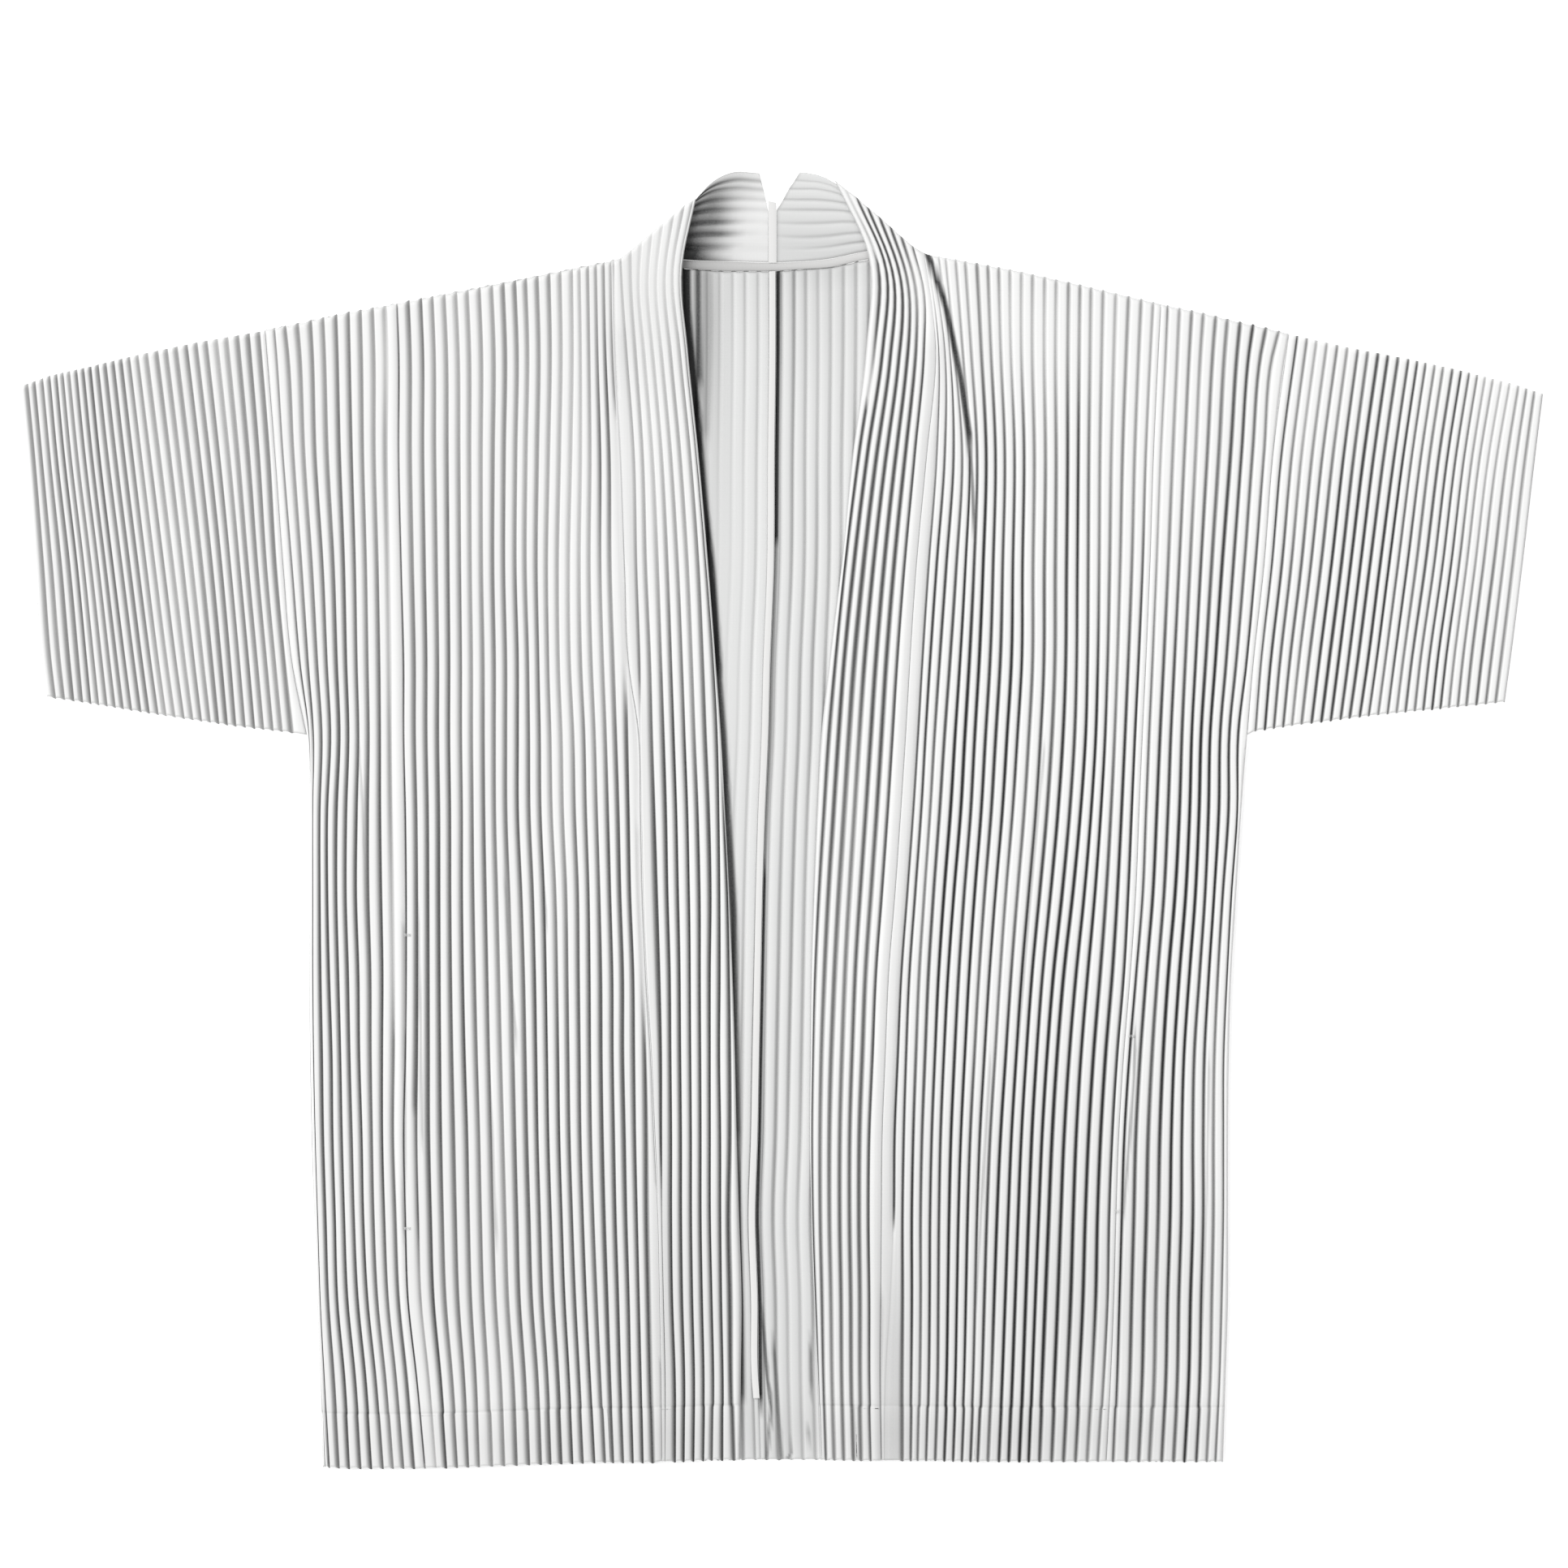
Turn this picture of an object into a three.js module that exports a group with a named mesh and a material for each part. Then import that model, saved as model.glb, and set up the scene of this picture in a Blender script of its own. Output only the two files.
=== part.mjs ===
// A kimono jacket of accordion-pleated cloth, laid flat on its back with the fronts a hand apart.
// Millimetres, +Z up, +Y towards the neck, +X on the wearer's left. The back lies on z = 0.
//
// Two layers of cloth lie on each other. The lower one holds the backs, the back halves of the
// sleeves and the back neck's stretch of the neckband; the upper one holds the fronts, the front
// halves of the sleeves and the neckband's two front stretches.
import * as THREE from 'three';

// ---- Driving dimensions -------------------------------------------------------------------
const SEAM_GAP = 0.3;          // between two pieces that are sewn edge to edge
const LAYER_GAP = 0.3;         // between a piece and the one that lies on it
const CLOTH_WALL = 1.2;        // a wall from its inner face to the bottom of a crease
const LOWER_RIDGE = 1.3;       // how far a pleat stands over its creases in the lower layer
const UPPER_RIDGE = 2.0;       // the same in the upper layer
const STRIP_RISE = 0.5;        // pressed seam strips lie this share of a ridge high
const SLOPE_WIDTH = 1.2;       // the slope from a plain strip into the first crease
const SLOPE_SHARE = 0.3;       // and the most of the strip that it may take
const BINDING_WALL = 2.2;      // neck binding, folded double
const SEAM_LIP_WIDTH = 4.2;    // pressed seam allowance that stands along the centre back
const SEAM_LIP_WALL = 1.0;

const LOWER_BASE = 0;
const UPPER_BASE = CLOTH_WALL + LOWER_RIDGE + LAYER_GAP;

const CLOTH_COLOUR = '#e6e7e7';
const BACK_COLOUR = '#dfe0e0';
const BINDING_COLOUR = '#d9dada';

// Where the two flats of one pleat begin and end, as shares of its pitch. The wearer's right
// half is pressed over to one side, the left half stands evenly between narrow creases.
const LEANING_CREST = { rise: 0.16, fall: 0.62 };
const EVEN_CREST = { rise: 0.2, fall: 0.78 };

// ---- The lines of the cut -------------------------------------------------------------------
// Each row is one seam or one crease, followed from the shoulder to the hem.
const HEIGHTS = [284, 220.5, 152, 93, 51.5, -93, -191, -289];

function fall(pleat, top, across, hem) {
  const middle = across.map((x, i) => [x, HEIGHTS[i]]);
  return { pleat, points: [top, ...middle, hem] };
}

// fall(pleat, shoulder x and y, x at each of HEIGHTS, hem x and y)
const RIGHT = {
  armhole: fall(0, [-311.5, 295.5], [-310.5, -305.5, -300.5, -295, -286.5, -285, -283.5, -280.5], [-277, -390]),
  side0: fall(0, [-306, 296.5], [-305, -301.5, -296, -291, -284, -282.5, -281, -278], [-274.5, -390.5]),
  side3: fall(3, [-284, 301], [-283, -281, -276.5, -274, -272, -272, -270.5, -267.5], [-265.5, -391]),
  side6: fall(6, [-261, 306], [-260.5, -259.5, -257, -256, -255, -255, -253, -249.5], [-247, -391]),
  side9: fall(9, [-238.5, 310], [-238, -238, -236.5, -236.5, -235.5, -233.5, -234, -231], [-228, -391]),
  pocket: fall(0, [-235, 311], [-234.5, -234.5, -233, -233, -232, -230.5, -231, -228], [-225, -391]),
  centre0: fall(0, [-232, 311.5], [-231, -231, -229.5, -228.5, -228, -226.5, -227.5, -225], [-222, -391]),
  centre5: fall(5, [-197.5, 318], [-196.5, -196.5, -195.5, -195, -194.5, -192.5, -189.5, -185], [-184, -390]),
  centre10: fall(10, [-160.5, 325], [-161.5, -163, -163.5, -162.5, -162, -158, -153.5, -147], [-145, -388.5]),
  centre15: fall(15, [-128, 331.5], [-129.5, -130.5, -133, -132.5, -130.5, -125, -121, -112.5], [-110, -387.5]),
  centre20: fall(20, [-107, 336], [-105.5, -103.5, -103, -101, -100, -93.5, -88, -80.5], [-77.5, -387.5]),
  neckSeam: fall(0, [-101, 337.5], [-99.5, -96.5, -95.5, -94, -92.5, -87, -82.5, -75], [-71, -387]),
};
const LEFT = {
  neckSeam: fall(0, [84, 342.5], [86, 80.5, 74, 69.5, 67, 64.5, 61, 66], [66.5, -386.5]),
  centre0: fall(0, [90, 340.5], [92.5, 87.5, 81.5, 77.5, 75, 72.5, 68.5, 72.5], [72.5, -386.5]),
  centre6: fall(6, [110, 337], [114.5, 117.5, 116, 113, 110, 105, 100.5, 102.5], [101.5, -386.5]),
  centre11: fall(11, [145, 330.5], [145, 146.5, 145.5, 144.5, 142.5, 135, 129, 128], [128, -387]),
  centre17: fall(17, [187, 321], [186.5, 185.5, 185, 184.5, 183, 172, 165, 162.5], [163.5, -387]),
  centre22: fall(22, [224.5, 312], [223, 220, 218, 215.5, 213.5, 207.5, 200.5, 197], [201, -387]),
  pocket: fall(0, [229, 311], [227.5, 224.5, 222.5, 219.5, 217.5, 210.5, 204.5, 201], [204.5, -387]),
  side0: fall(0, [233, 310], [232, 229, 226.5, 223.5, 221.5, 214, 208.5, 204.5], [207.5, -387]),
  side3: fall(3, [254.5, 305.5], [253, 249.5, 246.5, 243.5, 241, 233.5, 228, 226], [229.5, -387.5]),
  side6: fall(6, [276.5, 300], [275, 270.5, 266, 262, 259.5, 252, 247.5, 246.5], [250, -387.5]),
  side9: fall(9, [300.5, 294.5], [299, 291.5, 286, 281, 278, 269, 267, 267], [264, -387]),
  armhole: fall(0, [306, 293], [304.5, 296.5, 291, 284.5, 281, 271.5, 269.5, 269.5], [266.5, -387]),
};

// The neckband's front stretches turn at the neck, so their tops lie along a slanting fold, and
// each of their lines has one more point below it.
function bandFall(pleat, fold, turn, across, hem) {
  const line = fall(pleat, fold, across, hem);
  line.points.splice(1, 0, turn);
  return line;
}

// bandFall(pleat, fold x and y, turn x and y, x at each of HEIGHTS, hem x and y)
const RIGHT_BAND = {
  seam: bandFall(0, [-100.7, 337.5], [-100.1, 311],
    [-99.5, -96.5, -95.5, -94, -92.5, -87, -82.5, -75], [-71, -387]),
  crease0: bandFall(0, [-95.5, 339], [-95, 318],
    [-93.5, -89.5, -87.5, -86, -85, -81, -76.5, -69], [-64, -387]),
  crease7: bandFall(7, [-55, 374], [-62.5, 331],
    [-59, -52.5, -46.5, -42, -38.5, -32, -29.5, -26.5], [-27.5, -386]),
  edge: bandFall(7, [-51.5, 375], [-60, 331],
    [-56.5, -50, -44, -39.5, -36.5, -29.5, -27, -24], [-25, -386]),
};
const LEFT_BAND = {
  edge: bandFall(6, [32, 386], [52.5, 340],
    [51, 43, 36, 28, 24, 18, 17, 19.5], [23.5, -386]),
  crease6: bandFall(6, [35, 383.5], [55.5, 338],
    [53.5, 45.5, 38, 30.5, 26.5, 20.5, 19.5, 22], [26, -386]),
  crease0: bandFall(0, [79, 344], [81, 316],
    [81, 74.5, 67.5, 62.5, 60.5, 57.5, 53.5, 60], [59.5, -386.5]),
  seam: bandFall(0, [83.7, 342.5], [85.1, 311],
    [86, 80.5, 74, 69.5, 67, 64.5, 61, 66], [66.5, -386.5]),
};

// Sleeves: the creases run from the folded top edge to the underarm seam.
const SLEEVE_HEIGHTS = [220.5, 152, 93];

function sleeveFall(pleat, top, across, under) {
  const middle = across.map((x, i) => [x, SLEEVE_HEIGHTS[i]]);
  return { pleat, points: [top, ...middle, under] };
}

// sleeveFall(pleat, top x and y, x at each of SLEEVE_HEIGHTS, underarm x and y)
const RIGHT_SLEEVE = [
  sleeveFall(0, [-459.5, 261.5], [-455.5, -450.5, -446], [-443.5, 74.5]),
  sleeveFall(4, [-441.5, 268], [-437, -429, -423.5], [-421.5, 71.5]),
  sleeveFall(10, [-417, 273.5], [-411.5, -403, -395.5], [-392, 66.5]),
  sleeveFall(16, [-388.5, 280.5], [-381, -372.5, -365], [-360.5, 61.5]),
  sleeveFall(22, [-353, 288], [-345, -337.5, -332], [-329, 57]),
  sleeveFall(28, [-315, 294.5], [-309, -305, -299.5], [-295.5, 53]),
  sleeveFall(28, [-311.5, 295.5], [-305.5, -300.5, -295], [-286.5, 51.5]),
];
const LEFT_SLEEVE = [
  sleeveFall(0, [306, 293], [296.5, 291, 284.5], [281, 51.5]),
  sleeveFall(0, [311, 292], [301.5, 295.5, 289], [286, 54]),
  sleeveFall(5, [341.5, 285], [333, 325.5, 318], [314, 58]),
  sleeveFall(11, [378.5, 278], [370, 361, 353.5], [349, 62.5]),
  sleeveFall(17, [410, 271], [402, 393.5, 385], [382, 66]),
  sleeveFall(23, [439.5, 263.5], [432, 423.5, 416], [413.5, 69]),
  sleeveFall(27, [459.5, 257], [455, 447, 439.5], [436.5, 71.5]),
];

// The centre back seam, and the soft wide pleats on both sides of it.
const CENTRE_BACK = fall(0, [-4, 331], [-3, -4, -4.5, -7, -8, -12, -14, -14], [-12, -386]);
const BACK_PLEATS = 7;
const BACK_PITCH = 7.6;
const BACK_STRIP = 2;          // plain cloth from the centre seam to its first crease
const NECKLINE = [             // lower edge of the neck binding, from the right to the left
  [-101, 337.5], [-59, 332.5], [-36.4, 331], [-4, 331], [28.4, 333], [51.2, 338], [90, 341],
];

// The back neck's stretch of the neckband lies open with its pleats across. Each row is one
// crease, from the slanting fold to the centre back.
const crossing = (pleat, ...points) => ({ pleat, points });
const RIGHT_COLLAR = [
  crossing(0, [-87, 340], [-65, 338.5], [-46.5, 337.5], [-28.5, 337], [-6, 336.5]),
  crossing(2, [-76, 350], [-61, 352], [-46.5, 353], [-28.5, 353], [-6, 352.5]),
  crossing(4, [-64, 361.5], [-56.5, 365.5], [-45.5, 367.5], [-28.5, 368], [-6, 367.5]),
  crossing(6, [-56.5, 370], [-51, 374.5], [-42.5, 379], [-28.5, 381], [-10, 380]),
  crossing(8, [-52, 373.5], [-47.5, 379.5], [-40.5, 386], [-29.5, 391], [-12.5, 391]),
];
const LEFT_COLLAR = [
  crossing(0, [-3, 336.5], [11, 337], [28, 338.5], [47.5, 342.5], [73, 346]),
  crossing(2, [-3, 352], [11, 351.5], [25.5, 352], [42.5, 354], [64, 354.5]),
  crossing(4, [-3, 367.5], [8.5, 367.5], [21.5, 367.5], [37, 367], [55, 364]),
  crossing(6, [2.5, 380], [11, 380], [21, 380], [32, 378], [44.5, 374]),
  crossing(8, [11, 391], [16.5, 390.5], [23, 389], [29, 386.5], [35, 382.5]),
];

// ---- Shared working --------------------------------------------------------------------------
const mix = (a, b, share) => a + (b - a) * share;
const mixPoint = (a, b, share) => [mix(a[0], b[0], share), mix(a[1], b[1], share)];
const distance = (a, b) => Math.hypot(b[0] - a[0], b[1] - a[1]);

// Height of a polyline of [x, y] points at x.
function heightAt(polyline, x) {
  const next = polyline.findIndex((point, i) => i > 0 && point[0] >= x);
  const [from, to] = [polyline[next - 1], polyline[next]];
  return mix(from[1], to[1], (x - from[0]) / (to[0] - from[0]));
}

// The same line with every point moved by length towards its neighbour's.
function movedTowards(line, neighbour, length) {
  const points = line.points.map((point, i) => {
    const other = neighbour.points[i];
    return mixPoint(point, other, length / distance(point, other));
  });
  return { ...line, points };
}

// Leaves half a seam's gap along the first, the last or both lines of a panel.
function withSeams(lines, first, last) {
  const seamed = [...lines];
  const end = lines.length - 1;
  if (first) seamed[0] = movedTowards(lines[0], lines[1], SEAM_GAP / 2);
  if (last) seamed[end] = movedTowards(lines[end], lines[end - 1], SEAM_GAP / 2);
  return seamed;
}

// The stations across a panel: where each lies between two lines, and how high over the creases.
// Between two lines of the same pleat number the cloth is plain, and otherwise it is pleated.
function stationsAcross(lines, crest, plainRise) {
  const stations = [];
  for (let i = 0; i < lines.length - 1; i += 1) {
    const pleats = lines[i + 1].pleat - lines[i].pleat;
    const pleatedBefore = i > 0 && lines[i].pleat !== lines[i - 1].pleat;
    const pleatedAfter = i < lines.length - 2 && lines[i + 2].pleat !== lines[i + 1].pleat;
    if (pleats === 0) {
      const width = distance(lines[i].points[0], lines[i + 1].points[0]);
      const slope = Math.min(SLOPE_WIDTH / width, SLOPE_SHARE);
      stations.push({ at: i, rise: pleatedBefore ? 0 : plainRise, line: true });
      if (pleatedBefore) stations.push({ at: i + slope, rise: plainRise });
      if (pleatedAfter) stations.push({ at: i + 1 - slope, rise: plainRise });
      continue;
    }
    const count = Math.abs(pleats);
    for (let k = 0; k < count; k += 1) {
      const [rise, fallen] = pleats > 0 ? [crest.rise, crest.fall] : [1 - crest.fall, 1 - crest.rise];
      stations.push({ at: i + k / count, rise: 0, line: k === 0, crease: true });
      stations.push({ at: i + (k + rise) / count, rise: 1 });
      stations.push({ at: i + (k + fallen) / count, rise: 1 });
    }
  }
  const end = lines.length - 1;
  const endsPlain = lines[end].pleat === lines[end - 1].pleat;
  stations.push({ at: end, rise: endsPlain ? plainRise : 0, line: true });
  return stations;
}

// A sheet of cloth between its lines: a flat inner face and an outer face raised into pleats.
// The cloth's edges at the lines' two ends are cut square, so the pleats show there in section.
function clothGeometry({
  lines, base, ridge, crest = EVEN_CREST, plainRise = STRIP_RISE, wall = CLOTH_WALL,
}) {
  const stations = stationsAcross(lines, crest, plainRise);
  const rows = lines[0].points.length;
  const positions = [];
  const triangles = [];

  const place = (at, row) => {
    const from = Math.min(Math.floor(at), lines.length - 2);
    return mixPoint(lines[from].points[row], lines[from + 1].points[row], at - from);
  };
  const chain = (kept, row, heightOf) => kept.map((station) => {
    const [x, y] = place(station.at, row);
    positions.push(x, y, heightOf(station));
    return { at: station.at, vertex: positions.length / 3 - 1 };
  });
  const join = (one, other) => {
    let [i, j] = [0, 0];
    while (i < one.length - 1 || j < other.length - 1) {
      const oneNext = i < one.length - 1 ? one[i + 1].at : Infinity;
      const otherNext = j < other.length - 1 ? other[j + 1].at : Infinity;
      if (oneNext <= otherNext) {
        triangles.push(one[i].vertex, other[j].vertex, one[i + 1].vertex);
        i += 1;
      } else {
        triangles.push(one[i].vertex, other[j].vertex, other[j + 1].vertex);
        j += 1;
      }
    }
  };

  const outer = [];
  const inner = [];
  for (let row = 0; row < rows; row += 1) {
    const cutEdge = row === 0 || row === rows - 1;
    const innerStations = stations.filter((s) => s.line || (cutEdge && s.crease));
    outer.push(chain(stations, row, (s) => base + wall + ridge * s.rise));
    inner.push(chain(innerStations, row, () => base));
  }
  for (let row = 0; row < rows - 1; row += 1) {
    join(outer[row], outer[row + 1]);
    join(inner[row + 1], inner[row]);
  }
  join(outer[rows - 1], inner[rows - 1]);
  join(inner[0], outer[0]);
  for (let row = 0; row < rows - 1; row += 1) {
    const corners = [outer[row], outer[row + 1], inner[row + 1], inner[row]];
    const [a, b, c, d] = corners.map((points) => points[0].vertex);
    triangles.push(a, c, b, a, d, c);
    const [e, f, g, h] = corners.map((points) => points[points.length - 1].vertex);
    triangles.push(e, f, g, e, g, h);
  }
  return closedGeometry(positions, triangles);
}

// Turns the faces outwards, whichever way round the lines were given.
function closedGeometry(positions, triangles) {
  let volume = 0;
  const [a, b, c] = [new THREE.Vector3(), new THREE.Vector3(), new THREE.Vector3()];
  for (let i = 0; i < triangles.length; i += 3) {
    [a, b, c].forEach((corner, k) => corner.fromArray(positions, triangles[i + k] * 3));
    volume += a.dot(b.cross(c));
  }
  if (volume < 0) triangles.reverse();
  const geometry = new THREE.BufferGeometry();
  geometry.setAttribute('position', new THREE.Float32BufferAttribute(positions, 3));
  geometry.setIndex(triangles);
  geometry.computeVertexNormals();
  return geometry;
}

const jacket = new THREE.Group();

function sew(name, colour, cloth) {
  const finish = new THREE.MeshStandardMaterial({ color: colour, roughness: 0.85, metalness: 0 });
  const piece = new THREE.Mesh(clothGeometry(cloth), finish);
  piece.name = name;
  jacket.add(piece);
}

// ---- Lower layer -------------------------------------------------------------------------------
// A crease of the back beside the centre seam. Its top lies on the neckline.
function backCrease(pleat, side) {
  const away = side * (BACK_STRIP + pleat * BACK_PITCH);
  const points = CENTRE_BACK.points.map(([x, y]) => [x + away, y]);
  points[0][1] = heightAt(NECKLINE, points[0][0]);
  return { pleat, points };
}

function back(name, side, armhole, neckSeam) {
  const [[neckX], ...below] = neckSeam.points;
  const shoulderNeck = { pleat: BACK_PLEATS, points: [[neckX, heightAt(NECKLINE, neckX)], ...below] };
  const sideSeam = { ...armhole, pleat: BACK_PLEATS };
  const creases = [0, 4, BACK_PLEATS].map((pleat) => backCrease(pleat, side));
  const lines = [CENTRE_BACK, ...creases, shoulderNeck, sideSeam];
  sew(name, BACK_COLOUR, {
    lines: withSeams(lines, true, true),
    base: LOWER_BASE,
    ridge: LOWER_RIDGE,
    plainRise: 1,
  });
}

back('back_right', -1, RIGHT.armhole, RIGHT.neckSeam);
back('back_left', 1, LEFT.armhole, LEFT.neckSeam);

// The underside of a sleeve lies flat, so it is plain.
function sleeveBack(name, falls, bodyFirst) {
  const lines = falls.map((line) => ({ ...line, pleat: 0 }));
  sew(name, BACK_COLOUR, {
    lines: withSeams(lines, bodyFirst, !bodyFirst),
    base: LOWER_BASE,
    ridge: LOWER_RIDGE,
    plainRise: 1,
  });
}

sleeveBack('sleeve_back_right', RIGHT_SLEEVE, false);
sleeveBack('sleeve_back_left', LEFT_SLEEVE, true);

function collar(name, lines, crest) {
  sew(name, CLOTH_COLOUR, { lines, base: LOWER_BASE, ridge: LOWER_RIDGE, crest });
}

collar('collar_right', RIGHT_COLLAR, LEANING_CREST);
collar('collar_left', LEFT_COLLAR, EVEN_CREST);

// The binding covers the neck seam, between the backs and the collar.
const collarSeam = [...RIGHT_COLLAR[0].points, ...LEFT_COLLAR[0].points];
const binding = {
  lowerX: [-92, -59, -36.4, -20, -4, 11, 28.4, 51.2, 80],
  upperX: [-86, -65, -46.5, -28.5, -6, 11, 28, 47.5, 72.5],
};
sew('neck_binding', BINDING_COLOUR, {
  lines: [
    crossing(0, ...binding.lowerX.map((x) => [x, heightAt(NECKLINE, x) + SEAM_GAP])),
    crossing(0, ...binding.upperX.map((x) => [x, heightAt(collarSeam, x) - SEAM_GAP])),
  ],
  base: LOWER_BASE,
  wall: BINDING_WALL,
  ridge: 0,
});

// The pressed seam allowance of the centre back stands as a thin lip on the right back.
const lipPoints = CENTRE_BACK.points.slice(0, -1);
sew('centre_back_seam', BACK_COLOUR, {
  lines: [
    crossing(0, ...lipPoints.map(([x, y]) => [x - SEAM_LIP_WIDTH, y])),
    crossing(0, ...lipPoints.map(([x, y]) => [x - SEAM_GAP, y])),
  ],
  base: UPPER_BASE,
  wall: SEAM_LIP_WALL,
  ridge: 0,
});

// ---- Upper layer -------------------------------------------------------------------------------
function upper(name, lines, crest, firstSewn, lastSewn) {
  sew(name, CLOTH_COLOUR, {
    lines: withSeams(lines, firstSewn, lastSewn),
    base: UPPER_BASE,
    ridge: UPPER_RIDGE,
    crest,
  });
}

const rightSide = [RIGHT.armhole, RIGHT.side0, RIGHT.side3, RIGHT.side6, RIGHT.side9, RIGHT.pocket];
const rightCentre = [
  RIGHT.pocket, RIGHT.centre0, RIGHT.centre5, RIGHT.centre10, RIGHT.centre15, RIGHT.centre20, RIGHT.neckSeam,
];
const leftCentre = [
  LEFT.neckSeam, LEFT.centre0, LEFT.centre6, LEFT.centre11, LEFT.centre17, LEFT.centre22, LEFT.pocket,
];
const leftSide = [LEFT.pocket, LEFT.side0, LEFT.side3, LEFT.side6, LEFT.side9, LEFT.armhole];

// A front's last line beside a pleated stretch repeats its pleat number, so the strip is plain.
function closePleats(lines) {
  const closed = lines.map((line) => ({ ...line }));
  closed[closed.length - 1].pleat = closed[closed.length - 2].pleat;
  return closed;
}

upper('sleeve_front_right', RIGHT_SLEEVE, LEANING_CREST, false, true);
upper('front_side_right', closePleats(rightSide), LEANING_CREST, true, true);
upper('front_centre_right', closePleats(rightCentre), LEANING_CREST, true, true);
upper('band_right', Object.values(RIGHT_BAND), LEANING_CREST, true, false);
upper('band_left', Object.values(LEFT_BAND), EVEN_CREST, false, true);
upper('front_centre_left', closePleats(leftCentre), EVEN_CREST, true, true);
upper('front_side_left', closePleats(leftSide), EVEN_CREST, true, true);
upper('sleeve_front_left', LEFT_SLEEVE, EVEN_CREST, true, false);

export default jacket;
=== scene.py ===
import math

import bpy
import numpy as np
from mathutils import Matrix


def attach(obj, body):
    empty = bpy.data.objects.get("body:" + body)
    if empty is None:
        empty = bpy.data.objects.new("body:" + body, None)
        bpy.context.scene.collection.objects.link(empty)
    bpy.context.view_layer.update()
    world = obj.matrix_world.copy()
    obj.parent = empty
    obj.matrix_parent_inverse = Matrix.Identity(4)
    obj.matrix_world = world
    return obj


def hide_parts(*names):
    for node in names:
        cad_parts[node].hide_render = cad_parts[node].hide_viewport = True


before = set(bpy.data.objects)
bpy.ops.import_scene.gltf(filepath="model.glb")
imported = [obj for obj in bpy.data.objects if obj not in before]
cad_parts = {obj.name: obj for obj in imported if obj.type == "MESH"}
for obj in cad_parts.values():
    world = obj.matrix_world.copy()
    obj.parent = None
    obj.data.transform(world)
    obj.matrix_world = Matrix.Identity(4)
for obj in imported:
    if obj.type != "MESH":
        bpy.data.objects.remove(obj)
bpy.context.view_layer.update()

MM = 0.001

# ---- Cloth and layers -------------------------------------------------------------------------
CLOTH = 0.35            # the crepe, with its backing fold, as thick as it shows at a cut edge
SEAM_GAP = 0.14         # between two pieces sewn edge to edge
MIDDLE = 2.85           # height between the lower and the upper layer
UPPER = {"floor": 2.9, "crease": 3.3, "ridge": 2.6}
LOWER = {"floor": 0.0, "crease": 0.5, "ridge": 1.9}
STRIP_RISE = 0.74       # a pressed seam strip, as a share of the ridge
OPEN_PITCH = 3.6        # a pleat narrower than this is drawn into the seam and runs out
HEM_DEPTH = 33          # the hem's turning, held by one line of stitches
END_ROLL = 2.4          # cloth turns over this far at a shoulder or a fold
HEM_ROLL = 0.9
EDGE_ROLL = 1.3
CUFF_ROLL = 1.2
SEAM_DIP = 0.7          # the cloth dips over this width beside a seam, by a share of its height
SEAM_DIP_SHARE = 0.25
EDGE_SHADE = 0.8        # a free edge gets painted shade over this width
STITCH_DENT = 1.2       # half the width of the dent along a line of stitches
TAB_REACH = 3           # over this length the pleats of an end stick out or draw in
TAB_LENGTH = 0.9
STRIP_SLOPE = 0.9       # width of the slope from a smooth strip into the crease beside it,
STRIP_SLOPE_SHARE = 0.3     # and the largest share of the strip that it takes
UNDERARM = 40           # the height from which the side seam begins to turn into the armhole
SLEEVE_CREASE = 0.4     # half the thickness of a sleeve at its creases
SLEEVE_UNDER_RIDGE = 2.3
TOP_EDGE_RADIUS = 3.0   # of the sleeve's folded top edge
ROW_STEP = 8.0          # between two rows of a mesh, down the cloth
PLAIN, OWN_PLEAT = -2, -1   # what a point across a panel is on: a smooth strip, or a pleat

# One pleat from crease to crease: where its flat top begins and ends, how softly the shade
# painted into its crease spreads, how much the pleats differ, and the points drawn. The wearer's
# right half is pressed over to one side, the left half stands between narrow creases.
LEANING = {"rise": 0.12, "fall": 0.52, "spread": 1.1, "variety": 0.3,
           "points": (0, .03, .07, .11, .15, .3, .45, .58, .7, .82, .92)}
EVEN = {"rise": 0.28, "fall": 0.74, "spread": 1.1, "variety": 0.42,
        "points": (0, .05, .1, .16, .22, .29, .4, .55, .72, .79, .86, .91, .955)}
CRISP = {"rise": 0.3, "fall": 0.62, "spread": 0.9, "variety": 0.3,
         "points": (0, .05, .1, .16, .22, .3, .4, .52, .6, .67, .74, .82, .91)}
SOFT = {"rise": 0.24, "fall": 0.72, "spread": 1.6, "variety": 0.5,
        "points": (0, .08, .17, .26, .48, .7, .8, .9)}
LEANING_SLEEVE = {**LEANING, "fall": 0.42, "spread": 0.9}
ROLLED = {**SOFT, "rise": 0.4, "fall": 0.6, "spread": 0.9}

# ---- The lines of the cut ---------------------------------------------------------------------
HEIGHTS = (284, 220.5, 152, 93, 51.5, 5, -44, -93, -142, -191, -240, -289, -338)
SLEEVE_HEIGHTS = (220.5, 152, 93)


def fall(pleat, top, across, hem, heights=HEIGHTS):
    """One seam or crease, as its pleat number and its points from the top down."""
    return pleat, [top, *zip(across, heights), hem]


def band_fall(pleat, fold, turn, across, hem):
    return pleat, [fold, turn, *zip(across, HEIGHTS), hem]


def band_seam(front, fold, turn):
    """A front's neck seam, as the band's first or last line."""
    pleat, points = front["neck_seam"]
    return pleat, [fold, turn, *points[1:]]


def sleeve_fall(pleat, top, across, under):
    return fall(pleat, top, across, under, SLEEVE_HEIGHTS)


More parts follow.
